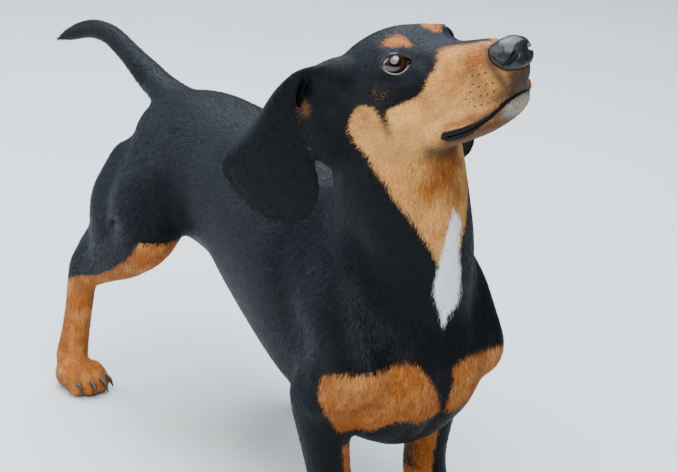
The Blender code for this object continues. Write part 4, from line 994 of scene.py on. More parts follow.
class Marks:
    """The markings of the coat at each point of the skin, with painted shade under the jaw, down the throat, round the
    nose and along the lip. Lengths are in metres inside each edge.
    """

    def __init__(self, points, normals, ear_share, ear_inner):
        right = on_right(points)
        spots = in_picture(right)
        straight = in_picture(points)
        ahead, out, up = in_head_frame(points)
        share = head_share(points)
        turned = normals - 2 * (np.linalg.norm(right - points, axis=1) > 1e-6)[:, None] * (normals @ np.array(HEAD_LEFT))[:, None] * np.array(HEAD_LEFT)
        facing = turned @ np.array(VIEW_BACK)
        front = (points[:, 1] < 0.075) & (normals @ np.array((0, -1, 0)) > -0.15)
        upper = points[:, 2] > 0.185
        face = depth_inside(spots, FACE_TAN_PX) * HEAD_PIXEL
        wedge = np.abs(out) - np.interp(ahead, *zip(*BRIDGE_BLACK))
        face = np.where((out > 0) & (up > -0.016), np.minimum(face, wedge), face)
        face = np.where(upper & (points[:, 1] < 0.125), np.minimum(face, (facing + 0.46) * 0.03), -0.02)
        face = np.minimum(face, (0.42 - normals[:, 1]) * 0.03)
        brow = depth_inside(spots, BROW_TAN_PX, 3.0) * HEAD_PIXEL
        far_brow = np.where((up > 0.0035) & (ahead > -0.02), depth_inside(straight, FAR_BROW_TAN_PX, 3.0) * HEAD_PIXEL, -0.02)
        brow = np.where(share > 0.9, np.where(out > 0, far_brow, brow), -0.02)
        breast = np.maximum(depth_inside(straight, BREAST_RIGHT_TAN_PX), depth_inside(straight, BREAST_LEFT_TAN_PX))
        breast = np.where(front & (points[:, 2] < 0.19), breast * BODY_PIXEL, -0.02)
        vent = 0.017 - np.linalg.norm(points - np.array((0, 0.436, 0.222)), axis=1)
        self.tan = np.maximum.reduce([face, brow, breast, leg_tan(points, normals), vent])
        self.tan = np.where(ear_share > 0.5, -0.02, self.tan)
        glow = depth_inside(straight, EAR_GLOW_PX, 3.0) * HEAD_PIXEL
        root = (points[:, 1] > 0.060) & (points[:, 1] < 0.120) & (points[:, 2] > 0.305) & (points[:, 0] < -0.055)
        root &= normals @ np.array(VIEW_BACK) > 0.10
        self.tan = np.where(root, np.maximum(self.tan, glow), self.tan)
        for rows in (EAR_RIGHT, EAR_LEFT):
            border = through(np.array(rows, float).reshape(len(rows), 9)[:, :3], 0.004)
            fringe = np.minimum(-0.0011, 0.0008 - distance_to(points, border))
            fringed = (ear_share > 0.5) & (points[:, 2] > 0.302) & (points[:, 2] < 0.346)
            self.tan = np.where(fringed, np.maximum(self.tan, fringe), self.tan)
        chest = (normals @ np.array((0, -1, 0)) > 0.2) & (points[:, 1] < 0.065)
        self.white = np.where(chest, depth_inside(straight, BLAZE_WHITE_PX) * BODY_PIXEL, -0.02)
        self.speck = np.exp(-(((spots - np.array(SPECKLE_PX)) / (9, 7)) ** 2).sum(1)) * (share > 0.5)
        # Dark marks on the tan together with painted shade: the soft lines, the dark under the nose, the painted shade
        # along the upper lip and the darker chin under the lip.
        smudge = soft_places(spots, SOFT_DARKS_AND_SHADE_PX)
        lips = [[tuple(at_head(a, side * l, u)) for a, l, u in MOUTH] for side in (-1, 1)]
        gap = np.minimum.reduce([distance_to(points, line) for line in lips])
        mouth_up = np.interp(ahead, [row[0] for row in MOUTH], [row[2] for row in MOUTH])
        muzzle = smooth_step(ahead, 0.057, 0.066) * smooth_step(-up, 0.023, 0.031)
        muzzle *= 1 - smooth_step(np.abs(out), 0.0082, 0.0172)
        # Painted shade along the lower edge of the upper lip, where it overhangs the lower one.
        lip_shade = np.exp(-((gap / 0.0046) ** 2)) * smooth_step(ahead, 0.026, 0.052)
        smudge = np.maximum(smudge, np.maximum(muzzle, lip_shade) * (up > mouth_up))
        corner = np.minimum.reduce([np.linalg.norm(points - np.array(line[0]), axis=1) for line in lips])
        thick = 0.0015 + 0.0013 * smooth_step(-ahead, -0.062, -0.034) + 0.0012 * smooth_step(-ahead, -0.046, -0.026)
        lip = np.maximum(thick - gap, 0.0044 - corner)
        rim = np.full(len(points), 1.0)
        for side in (-1, 1):
            centre, axis, along, over = (np.array(v) for v in eye_frame(side))
            at = points - centre
            ring_gap = np.sqrt((at @ along / 1.32) ** 2 + (at @ over / 0.90) ** 2) - 0.0084
            rim = np.where(at @ axis > 0, np.minimum(rim, ring_gap), rim)
        groove = np.where(np.abs(up - mouth_up) < 0.0010, 0.0056 - gap, -0.02)
        self.bare = np.maximum.reduce([lip, groove, 0.0004 - rim])
        throat = (points[:, 1] < 0.085) & (points[:, 2] > 0.26)
        self.smudge = smudge * ((share > 0.5) | throat)
        self.smudge = np.where(root & (glow > -0.0025), 0.85, self.smudge)
        mottle = 0.55 * (rough(points, 0.016, 3) - 0.5) + 0.40 * (rough(points, 0.006, 4) - 0.5)
        self.warmth = 0.12 + 0.60 * smooth_step(up + 0.35 * ahead, -0.030, 0.012) * share
        # Redder, darker tan under the jaw and down the throat, as painted shade.
        self.warmth += soft_places(spots, WARM_SHADE_PX) * ((share > 0.5) | throat)
        # Low on the breast and legs the tan is redder and darker, more so towards the bottom, partly as painted shade.
        self.warmth = np.where(points[:, 2] < 0.18, 0.80 + 0.20 * smooth_step(-points[:, 2], -0.150, -0.110), self.warmth)
        self.warmth = np.clip(np.where(brow > -0.004, 1.0, self.warmth) + mottle, 0, 1)
        self.warmth = np.where(root, 0.9, self.warmth)
        chin = smooth_step(ahead, 0.053, 0.061) * smooth_step(mouth_up - up, 0.0006, 0.0036)
        self.frost = chin * (1 - smooth_step(np.abs(out), 0.010, 0.017))
        under_lip = smooth_step(ahead, 0.040, 0.060) * (up < mouth_up) * (1 - smooth_step(mouth_up - up, 0.0020, 0.0105))
        self.smudge = np.maximum(self.smudge, 0.85 * under_lip)


def soft_places(spots, rows):
    """The strongest of some soft places at each spot of the picture, each fading away from its line."""
    found = np.zeros(len(spots))
    for line, fade, strength in rows:
        found = np.maximum(found, strength * np.exp(-(distance_to(spots, line) / fade) ** 2))
    return found


def distance_to(points, line):
    """The distance from each point to a bent line."""
    best = np.full(len(points), 1e9)
    for a, b in zip(line, line[1:]):
        a, b = np.array(a), np.array(b)
        way = b - a
        t = np.clip(((points - a) @ way) / (way @ way), 0, 1)
        best = np.minimum(best, ((points - a - t[:, None] * way) ** 2).sum(1))
    return np.sqrt(best)


def combing(lie):
    """How much of each direction of combed grain shows at a point, so that the grain follows the hair."""
    ways = grain_ways()
    shares = np.stack([np.abs(lie @ np.array(way)) ** 10 for way in ways], 1)
    return shares / np.maximum(shares.sum(1), 1e-6)[:, None]


def grain_ways():
    diagonal = Vector((0, 0.72, -0.69)).normalized()
    face = (-HEAD_FORWARD - HEAD_UP * 0.25).normalized()
    return Vector((0, 1, 0)), diagonal, Vector((0, 0.08, -1)).normalized(), face


def note(made, name, values):
    """Keeps one number for each point of a mesh, for its material to read."""
    layer = made.data.attributes.new(name, "FLOAT", "POINT")
    layer.data.foreach_set("value", np.ascontiguousarray(values, np.float32))


def note_colour(made, name, values):
    layer = made.data.attributes.new(name, "FLOAT_COLOR", "POINT")
    layer.data.foreach_set("color", np.ascontiguousarray(values, np.float32).reshape(-1))


def ear_shares(points, sheets):
    """One on the ears and nothing elsewhere, and one on the side of each ear that faces the head."""
    share = np.zeros(len(points))
    inner = np.zeros(len(points))
    for side, sheet in sheets.items():
        low, high = sheet[0].min(0) - 0.006, sheet[0].max(0) + 0.006
        close = np.nonzero(((points > low) & (points < high)).all(1))[0]
        tree = BVHTree.FromPolygons([tuple(p) for p in sheet[0]], sheet[1])
        for i in close:
            spot, normal, face, gap = tree.find_nearest(Vector(points[i]))
            if spot is not None and gap < 0.0034:
                share[i] = 1 - max(0.0, (gap - 0.0020) / 0.0014)
                off = Vector(points[i]) - spot
                inner[i] = 1.0 if off.x * side < 0 else 0.0
    ahead = in_head_frame(points)[0]
    return share, inner * share


def middle_sheet(rows):
    """The middle surface of an ear, as its points and faces."""
    rows = through(np.array(rows, float).reshape(len(rows), 9), 0.005)
    across = np.linspace(0, 1, 10)
    points = []
    for row in rows:
        front, middle, rear = row[:3], row[3:6], row[6:]
        for t in across:
            points.append(front * (1 - t) * (1 - 2 * t) + middle * 4 * t * (1 - t) + rear * t * (2 * t - 1))
    faces = []
    wide = len(across)
    for i in range(len(rows) - 1):
        for k in range(wide - 1):
            at = i * wide + k
            faces.append((at, at + 1, at + wide + 1, at + wide))
    return np.array(points), faces


def seen_spot(tree, pixel):
    """The point of the skin that the camera sees at a pixel."""
    x = (pixel[0] - PHOTO_WIDE / 2) / VIEW_FOCUS_PX
    y = (PHOTO_HIGH / 2 - pixel[1]) / VIEW_FOCUS_PX
    way = (VIEW_RIGHT * x + VIEW_UP * y - VIEW_BACK).normalized()
    return tree.ray_cast(VIEW_PLACE, way)[0]


def face_folds(skin):
    """The fine folds of the face and throat as lines on the skin, alike on both sides."""
    tree = BVHTree.FromPolygons([tuple(p) for p in points_of(skin)], [tuple(f.vertices) for f in skin.data.polygons])
    found = []
    for pixels, reach, height in FACE_FOLDS_PX:
        line = [seen_spot(tree, pixel) for pixel in pixels]
        if None in line:
            continue
        found.append((line, reach, height))
        other = [spot - HEAD_LEFT * 2 * (spot - HEAD_ORIGIN).dot(HEAD_LEFT) for spot in line]
        found.append((other, reach, height))
    return found


def grown_skin():
    """The whole skin: every form fused on a fine grid, smoothed, modelled and opened for eyes, nose and mouth."""
    forms = body_forms()
    forms += [leaf("ear", rows, EAR_THICKNESS, 16, 0.003) for rows in (EAR_RIGHT, EAR_LEFT)]
    skin = fuse("skin", forms, SKIN_VOXEL)
    sheets = {-1: middle_sheet(EAR_RIGHT), 1: middle_sheet(EAR_LEFT)}
    ears, _ = ear_shares(points_of(skin), sheets)
    weights = skin_weights(points_of(skin)) * (1 - 0.85 * ears)
    soften(skin, weights, round(60 * (SOLID_VOXEL / SKIN_VOXEL) ** 2))
    swell(skin, modelling())
    swell(skin, face_folds(skin))
    points = points_of(skin)
    points -= normals_of(skin) * COAT_DEPTH
    points[:, 2] = np.maximum(points[:, 2], 0.0002)
    put_points(skin, points)
    for side in (-1, 1):
        centre = eye_frame(side)[0]
        r = EYE_RADIUS + CUT_GAP
        skin = cut(skin, almond("slit", side, 0.020))
        skin = cut(skin, bulge("socket", centre, (r, r, r), sides=48))
    skin = cut(skin, mouth_blade())
    grown = nose_pad(0.0012)
    put_points(grown, points_of(grown) + normals_of(grown) * CUT_GAP)
    skin = cut(skin, grown)
    skin.name = "skin"
    return skin, sheets


def nose_pad(voxel):
    turn = Matrix((HEAD_FORWARD, HEAD_LEFT, HEAD_UP)).transposed()
    forms = [trunk("pad", NOSE, HEAD_ORIGIN, HEAD_FORWARD, HEAD_UP)]
    for side in (-1, 1):
        forms.append(bulge("wing", at_head(0.0760, side * 0.0084, -0.0198), (0.0074, 0.0050, 0.0078), turn))
    made = fuse("nose_pad", forms, voxel)
    soften(made, np.ones(len(points_of(made))), round(8 * (0.0007 / voxel) ** 2))
    return made


# The slit under the wing of the nose, in the head's own frame.
NOSE_SLIT = ((0.0665, 0.0126, -0.0152), (0.0715, 0.0142, -0.0192), (0.0770, 0.0128, -0.0220), (0.0812, 0.0092, -0.0212))


def nose_piece():
    """The nose leather, with its nostrils, the slits beside them and the groove down its middle."""
    made = nose_pad(0.0005)
    groove = [at_head(a, 0, u) for a, u in ((0.0868, -0.0185), (0.0862, -0.0240), (0.0835, -0.0295))]
    lines = [(groove, 0.0009, -0.0007)]
    for side in (-1, 1):
        slit = [at_head(a, side * l, u) for a, l, u in NOSE_SLIT]
        lines.append((slit, 0.0014, -0.0016))
        wing = [at_head(a, side * l, u) for a, l, u in ((0.0740, 0.0130, -0.0165), (0.0800, 0.0108, -0.0150))]
        lines.append((wing, 0.0026, 0.0006))
    swell(made, lines)
    for side in (-1, 1):
        made = cut(made, nostril(side))
    made.name = "nose_leather"
    points = points_of(made)
    # Painted shade in the nostrils: near-black towards each hole.
    holes = [[tuple(at_head(row[0], side * row[1], row[2])) for row in NOSTRIL[:3]] for side in (-1, 1)]
    gap = np.minimum.reduce([distance_to(points, hole) for hole in holes])
    note(made, "nostril_shade", 1 - smooth_step(gap, 0.0016, 0.0028))
    made.data.polygons.foreach_set("use_smooth", [True] * len(made.data.polygons))
    return made


def eyeball(side):
    """An eye: a ball whose front swells a little as the cornea, with its axis noted for the iris."""
    centre, axis, along, up = eye_frame(side)
    made = bulge("eyeball_left" if side > 0 else "eyeball_right", centre, (EYE_RADIUS,) * 3, sides=72)
    points = points_of(made)
    gap = unit(points - np.array(centre))
    gaze = np.array((axis * 0.96 + HEAD_FORWARD * 0.10 + HEAD_UP * 0.14).normalized())
    off = np.degrees(np.arccos(np.clip(gap @ gaze, -1, 1)))
    rise = 0.00030 * smooth_step(46 - off, 0, 30)
    put_points(made, points + gap * rise[:, None])
    note(made, "off_axis", off)
    made.data.polygons.foreach_set("use_smooth", [True] * len(made.data.polygons))
    return made


def lid_rim(side):
    """The wet edge of the lids round one eye, as a thin closed roll."""
    centre, axis, along, up = eye_frame(side)
    radius = EYE_RADIUS + 0.0002
    path = []
    lower = []
    for k in range(72):
        angle = 2 * math.pi * k / 72
        c, s = math.cos(angle), math.sin(angle)
        wide = 0.0105 if c > 0 else 0.0088
        tall = (0.0070 if s > 0 else 0.0068) * (1 - 0.55 * max(c, 0) ** 2)
        flat = along * c * wide + up * (s * tall - 0.0010 * c)
        reach = max(radius**2 - flat.length_squared, 0.0000045)
        path.append(centre + flat + axis * math.sqrt(reach))
        lower.append(max(0.0, -s))
    mesh = bmesh.new()
    rows = []
    shade = []
    for i, spot in enumerate(path):
        way = (path[(i + 1) % 72] - path[i - 1]).normalized()
        out = (spot - centre).normalized()
        across = way.cross(out).normalized()
        thick = 0.00098 - 0.00008 * lower[i]
        row = []
        for k in range(8):
            angle = 2 * math.pi * k / 8
            row.append(mesh.verts.new(spot + (out * math.cos(angle) + across * math.sin(angle)) * thick))
            shade.append(lower[i])
        rows.append(row)
    for i in range(72):
        high = rows[(i + 1) % 72]
        for k in range(8):
            mesh.faces.new((rows[i][k], rows[i][(k + 1) % 8], high[(k + 1) % 8], high[k]))
    bmesh.ops.recalc_face_normals(mesh, faces=mesh.faces)
    name = "lid_rim_left" if side > 0 else "lid_rim_right"
    data = bpy.data.meshes.new(name)
    mesh.to_mesh(data)
    mesh.free()
    data.polygons.foreach_set("use_smooth", [True] * len(data.polygons))
    made = bpy.data.objects.new(name, data)
    bpy.context.scene.collection.objects.link(made)
    note(made, "lower", shade)
    return made


def tear_corner(side):
    """The small fold of pink in the inner corner of the eye."""
    centre, axis, along, up = eye_frame(side)
    spot = centre + along * 0.0092 + axis * 0.0050 - up * 0.0010
    turn = Matrix((along, axis.cross(along), axis)).transposed()
    made = bulge("tear_corner_left" if side > 0 else "tear_corner_right", spot, (0.0016, 0.0010, 0.0012), turn, 16)
    made.data.polygons.foreach_set("use_smooth", [True] * len(made.data.polygons))
    return made


def joined(name, made):
    bpy.ops.object.select_all(action="DESELECT")
    for piece in made:
        piece.select_set(True)
    bpy.context.view_layer.objects.active = made[0]
    bpy.ops.object.join()
    whole = bpy.context.view_layer.objects.active
    whole.name = name
    whole.data.name = name
    whole.data.polygons.foreach_set("use_smooth", [True] * len(whole.data.polygons))
    return whole


def claw_set(name, side, centre, out_turn, size):
    """The claws of one paw, curved, tapered and a little different from toe to toe."""
    turn = Matrix.Rotation(math.radians(-side * out_turn), 3, "Z")
    made = []
    for k, (across, ahead) in enumerate(TOES):
        root = centre + turn @ Vector((across * 1.06, -ahead - 0.0020, 0.0000)) * size
        bend = centre + turn @ Vector((across * 1.12, -ahead - 0.0085, -0.0020)) * size
        tip = centre + turn @ Vector((across * 1.16, -ahead - 0.0125, -0.0085 + 0.0004 * (k % 2))) * size
        rows = [(*root, 0.0020, 0.0024, 0.0024), (*bend, 0.0016, 0.0020, 0.0020), (*tip, 0.0005, 0.0006, 0.0006)]
        made.append(limb("claw", rows, UP, ends=(0.6, 0.8), sides=16, step=0.0012))
    return joined(name, made)


def corners_of(made):
    """The triangles of a mesh, as three rows of point numbers."""
    made.data.calc_loop_triangles()
    flat = np.empty(len(made.data.loop_triangles) * 3, np.int32)
    made.data.loop_triangles.foreach_get("vertices", flat)
    return flat.reshape(-1, 3)


def attribute(made, name, width=1):
    flat = np.empty(len(made.data.vertices) * width)
    made.data.attributes[name].data.foreach_get("value" if width == 1 else "color", flat)
    return flat if width == 1 else flat.reshape(-1, width)


# Unwrap of the coat: each region of the skin has its own cell, cylinders round a line or flat faces.
ATLAS_CELLS = 4


def unwrap(points, normals, ear_share):
    """A place on a flat map for each root, from the skin's own shape: round the head, trunk and limbs."""
    x, y, z = points.T
    ahead, out, up = in_head_frame(points)
    around = np.arctan2(x, z - 0.170)
    along = (y - 0.0) / 0.45
    cell = np.full(len(points), 2)
    head = head_share(points) > 0.5
    neck = ~head & (z > 0.215) & (y < 0.135)
    around = np.where(neck, np.arctan2(x + 0.01, 0.075 - y), around)
    along = np.where(neck, (z - 0.21) / 0.13, along)
    cell = np.where(neck, 1, cell)
    around = np.where(head, np.arctan2(out, up + 0.025), around)
    along = np.where(head, (ahead + 0.10) / 0.19, along)
    cell = np.where(head, 0, cell)
    for side in (-1, 1):
        (fore_x, fore_y), (hind_x, hind_y) = leg_middle(side, z)
        fore = (z < 0.115) & (y < 0.145) & (x * side > 0.012)
        hind = (z < 0.165) & (y > 0.23) & (x * side > 0.012)
        around = np.where(fore, np.arctan2(x - fore_x, y - fore_y), around)
        around = np.where(hind, np.arctan2(x - hind_x, y - hind_y), around)
        along = np.where(fore | hind, z / 0.17, along)
        cell = np.where(fore, 3 if side > 0 else 4, np.where(hind, 5 if side > 0 else 6, cell))
    rear = (y > 0.440) & (z > 0.22)
    around = np.where(rear, np.arctan2(x + 0.005, z - 0.272), around)
    along = np.where(rear, (y - 0.44) / 0.15, along)
    cell = np.where(rear, 7, cell)
    on_ear = ear_share > 0.5
    face = (normals[:, 0] > 0).astype(int)
    cell = np.where(on_ear, np.where(x < -0.012, 8, 10) + face, cell)
    u = np.where(on_ear, (y - 0.065) / 0.085, around / (2 * math.pi) + 0.5)
    v = np.where(on_ear, (z - 0.24) / 0.13, along)
    u, v = np.clip(u, 0.02, 0.98), np.clip(v, 0.02, 0.98)
    return np.stack([(u + cell % ATLAS_CELLS) / ATLAS_CELLS, (v + cell // ATLAS_CELLS) / ATLAS_CELLS], 1)


TUFT_PATCH = 0.003
TUFT_ROLL = 0.26


def tufts(name, skin, roots, length, width, lift, splay, draw):
    """A coat piece: one flat tapered tuft of three triangles at each root, lying the way the hair runs."""
    count = len(roots["place"])
    lie = roots["lie"]
    normal = roots["normal"]
    across = np.cross(normal, lie)
    swing = draw.normal(0, splay, count)[:, None]
    way = unit(lie * np.cos(swing) + across * np.sin(swing))
    roll = draw.normal(0, TUFT_ROLL, count)[:, None]
    across = np.cross(normal, way) * np.cos(roll) + normal * np.sin(roll)
    long = (length * draw.uniform(0.7, 1.25, count))[:, None]
    wide = (width * draw.uniform(0.7, 1.3, count))[:, None] / 2
    rise = (lift * draw.uniform(0.4, 1.4, count))[:, None]
    root = roots["place"] - normal * 0.0004 - way * long * 0.15
    middle = roots["place"] + way * long * 0.42 + normal * rise * 0.75
    tip = roots["place"] + way * long * 0.95 + normal * rise + across * (draw.normal(0, 0.06, count)[:, None] * long)
    corners = np.stack([root - across * wide, root + across * wide, middle + across * wide * 0.85, middle - across * wide * 0.85, tip], 1)
    corners[:, :, 2] = np.maximum(corners[:, :, 2], 0.0002)
    points = corners.reshape(-1, 3)
    faces = np.array([(0, 1, 2), (0, 2, 3), (3, 2, 4)])
    faces = (np.arange(count)[:, None, None] * 5 + faces).reshape(-1, 3)
    data = bpy.data.meshes.new(name)
    data.vertices.add(len(points))
    data.vertices.foreach_set("co", points.reshape(-1))
    data.loops.add(len(faces) * 3)
    data.loops.foreach_set("vertex_index", faces.reshape(-1).astype(np.int32))
    data.polygons.add(len(faces))
    data.polygons.foreach_set("loop_start", (np.arange(len(faces)) * 3).astype(np.int32))
    data.polygons.foreach_set("use_smooth", [True] * len(faces))
    data.update(calc_edges=True)
    made = bpy.data.objects.new(name, data)
    bpy.context.scene.collection.objects.link(made)
    spread = np.array([(-1, -1), (1, -1), (1, 0.3), (-1, 0.3), (0, 1)]) * TUFT_PATCH / 2
    uv = roots["flat"][:, None, :] + spread
    layer = data.uv_layers.new(name="OFBake")
    layer.data.foreach_set("uv", uv.reshape(-1, 2)[faces.reshape(-1)].reshape(-1).astype(np.float32))
    for mark in MARK_NAMES:
        note(made, mark, np.repeat(roots[mark], 5))
    note(made, "tone", np.repeat(draw.uniform(0, 1, count), 5))
    note(made, "tip", np.tile((0.0, 0.0, 0.55, 0.55, 1.0), count))
    note_colour(made, "comb", np.repeat(roots["comb"], 5, axis=0))
    return made


MARK_NAMES = ("tan", "white", "bare", "speck", "smudge", "warmth", "frost")


def scatter(skin, fields, chosen, count, draw):
    """Roots spread over the chosen triangles of the skin, evenly by area, with all that is noted there."""
    corners = fields["corners"][chosen]
    a, b, c = (fields["points"][corners[:, k]] for k in range(3))
    area = np.linalg.norm(np.cross(b - a, c - a), axis=1)
    pick = draw.choice(len(corners), count, p=area / area.sum())
    first, second = draw.uniform(0, 1, (2, count))
    flip = first + second > 1
    first = np.where(flip, 1 - first, first)
    second = np.where(flip, 1 - second, second)
    shares = np.stack([1 - first - second, first, second], 1)
    rows = corners[pick]
    roots = {"place": (fields["points"][rows] * shares[:, :, None]).sum(1)}
    roots["normal"] = unit((fields["normals"][rows] * shares[:, :, None]).sum(1))
    lie = (fields["lie"][rows] * shares[:, :, None]).sum(1)
    lie -= roots["normal"] * (lie * roots["normal"]).sum(1)[:, None]
    roots["lie"] = unit(lie)
    for mark in MARK_NAMES + ("ear",):
        roots[mark] = (fields[mark][rows] * shares).sum(1)
    roots["comb"] = combing(roots["lie"])
    roots["flat"] = unwrap(roots["place"], roots["normal"], roots["ear"])
    return roots


# Coat pieces: how many tufts, their length, width, lift and splay.
COAT_PARTS = {
    "coat_face": (30000, 0.0024, 0.00028, 0.00020, 0.15),
    "coat_skull": (26000, 0.0036, 0.00034, 0.00024, 0.12),
    "coat_ears": (26000, 0.0036, 0.00034, 0.00022, 0.14),
    "coat_neck": (54000, 0.0050, 0.00038, 0.00032, 0.11),
    "coat_breast": (38000, 0.0056, 0.00042, 0.00042, 0.14),
    "coat_trunk": (64000, 0.0058, 0.00048, 0.00034, 0.09),
    "coat_thighs": (44000, 0.0054, 0.00046, 0.00036, 0.12),
    "coat_legs": (38000, 0.0038, 0.00038, 0.00032, 0.15),
    "coat_tail": (14000, 0.0074, 0.00050, 0.00060, 0.14),
}


def coat_regions(fields):
    """Which triangles of the skin each coat piece grows from."""
    middles = fields["points"][fields["corners"]].mean(1)
    normal = fields["normals"][fields["corners"]].mean(1)
    x, y, z = middles.T
    ahead, out, up = in_head_frame(middles)
    bare = fields["bare"][fields["corners"]].max(1)
    ear = fields["ear"][fields["corners"]].mean(1) > 0.5
    head = (head_share(middles) > 0.5) & ~ear
    sole = (z < 0.0035) & (normal[:, 2] < -0.5)
    inside = np.zeros(len(middles), bool)
    for side in (-1, 1):
        gap = np.linalg.norm(middles - np.array(eye_frame(side)[0]), axis=1)
        inside |= gap < EYE_RADIUS + 0.0010
    nose_gap = (ahead > 0.060) & (np.abs(out) < 0.0165) & (up > -0.0345) & (up < -0.004) & (ahead + 0.25 * up > 0.0585)
    open_skin = ~inside & ~nose_gap & (bare < 0.0002) & ~sole
    rear = (y > 0.440) & (z > 0.228)
    leg = (z < 0.115) & ((y < 0.15) | (y > 0.24)) & (np.abs(x) > 0.018)
    thigh = (y > 0.27) & ~leg & ~rear
    neck = ~head & ~ear & (z > 0.215) & (y < 0.140)
    breast = ~head & ~ear & ~neck & ~leg & (y < 0.075)
    regions = {"coat_face": head & (ahead > -0.012), "coat_skull": head & (ahead <= -0.012), "coat_ears": ear,
               "coat_neck": neck, "coat_breast": breast, "coat_tail": rear & ~ear, "coat_legs": leg & ~head}
    regions["coat_thighs"] = thigh & ~neck & ~head & ~ear
    taken = np.logical_or.reduce(list(regions.values()))
    regions["coat_trunk"] = ~taken
    return {name: np.nonzero(mask & open_skin)[0] for name, mask in regions.items()}


def group(name, inputs, outputs):
    """A new shader node group with its sockets, and its two end nodes."""
    tree = bpy.data.node_groups.new(name, "ShaderNodeTree")
    for label, kind in inputs:
        tree.interface.new_socket(label, in_out="INPUT", socket_type=kind)
    for label, kind in outputs:
        tree.interface.new_socket(label, in_out="OUTPUT", socket_type=kind)
    return tree, tree.nodes.new("NodeGroupInput"), tree.nodes.new("NodeGroupOutput")


def put(tree, kind, values=None, **settings):
    """A node with its settings, and its inputs set to a number, a colour or another node's output."""
    made = tree.nodes.new(kind)
    for key, value in settings.items():
        setattr(made, key, value)
    for key, value in (values or {}).items():
        if isinstance(value, bpy.types.NodeSocket):
            tree.links.new(value, made.inputs[key])
        else:
            made.inputs[key].default_value = value
    return made


def math_of(tree, operation, *values, clamp=False):
    return put(tree, "ShaderNodeMath", dict(enumerate(values)), operation=operation, use_clamp=clamp).outputs[0]


def ramp_between(tree, value, low, high):
    """Nought below low, one above high, and smooth between."""
    return put(tree, "ShaderNodeMapRange", {"Value": value, "From Min": low, "From Max": high}, interpolation_type="SMOOTHSTEP").outputs["Result"]


def blend_colour(tree, share, first, second, kind="MIX"):
    made = tree.nodes.new("ShaderNodeMix")
    made.data_type = "RGBA"
    made.blend_type = kind
    for socket, value in (("Factor_Float", share), ("A_Color", first), ("B_Color", second)):
        target = next(s for s in made.inputs if s.identifier == socket)
        if isinstance(value, bpy.types.NodeSocket):
            tree.links.new(value, target)
        else:
            target.default_value = value if isinstance(value, float) else (*value, 1.0)
    return next(s for s in made.outputs if s.identifier == "Result_Color")


def read(tree, name, colour=False):
    made = put(tree, "ShaderNodeAttribute", attribute_name=name)
    return made.outputs["Color" if colour else "Fac"]


def combed_grain():
    """Short hair as fine streaks that run along the coat: a value from 0 to 1."""
    tree, start, end = group("combed_grain", (("Comb", "NodeSocketColor"), ("Length", "NodeSocketFloat"), ("Width", "NodeSocketFloat")), (("Streaks", "NodeSocketFloat"),))
    place = put(tree, "ShaderNodeTexCoord").outputs["Object"]
    shares = put(tree, "ShaderNodeSeparateColor", {"Color": start.outputs["Comb"]})
    last = None
    stretch = put(tree, "ShaderNodeCombineXYZ", {
        "X": math_of(tree, "DIVIDE", 1.0, start.outputs["Length"]),
        "Y": math_of(tree, "DIVIDE", 1.0, start.outputs["Width"]),
        "Z": math_of(tree, "DIVIDE", 1.0, start.outputs["Width"]),
    }).outputs[0]
    total = 0.0
    parts = []
    for index, way in enumerate(grain_ways()):
        turn = Vector(way).rotation_difference(Vector((1, 0, 0))).to_euler()
        turned = put(tree, "ShaderNodeMapping", {"Vector": place, "Rotation": turn}).outputs[0]
        scaled = put(tree, "ShaderNodeVectorMath", {0: turned, 1: stretch}, operation="MULTIPLY").outputs[0]
        noise = put(tree, "ShaderNodeTexNoise", {"Vector": scaled, "Scale": 1.0, "Detail": 1.5, "Roughness": 0.55}).outputs["Fac"]
        parts.append(noise)
    red, green, blue = (shares.outputs[i] for i in range(3))
    rest = math_of(tree, "SUBTRACT", math_of(tree, "SUBTRACT", math_of(tree, "SUBTRACT", 1.0, red), green), blue, clamp=True)
    for share, part in zip((red, green, blue, rest), parts):
        total = math_of(tree, "MULTIPLY_ADD", share, part, total)
    tree.links.new(total, end.inputs["Streaks"])
    return tree


BLACK_DEEP = (0.0022, 0.0026, 0.0034)
BLACK_WORN = (0.0078, 0.0090, 0.0116)
TAN_PALE = (0.800, 0.435, 0.145)
TAN_PALE_DEEP = (0.490, 0.220, 0.055)
TAN_WARM = (0.400, 0.125, 0.020)
TAN_WARM_DEEP = (0.175, 0.044, 0.006)
BLAZE_WHITE = (0.940, 0.960, 0.960)
BLAZE_GREY = (0.720, 0.740, 0.740)
FROST_GREY = (0.290, 0.320, 0.300)
# Colour of the dark marks and of the painted shade on the tan.
DARK_MARK_AND_SHADE = (0.0200, 0.0150, 0.0140)
BARE_BLACK = (0.0050, 0.0048, 0.0055)


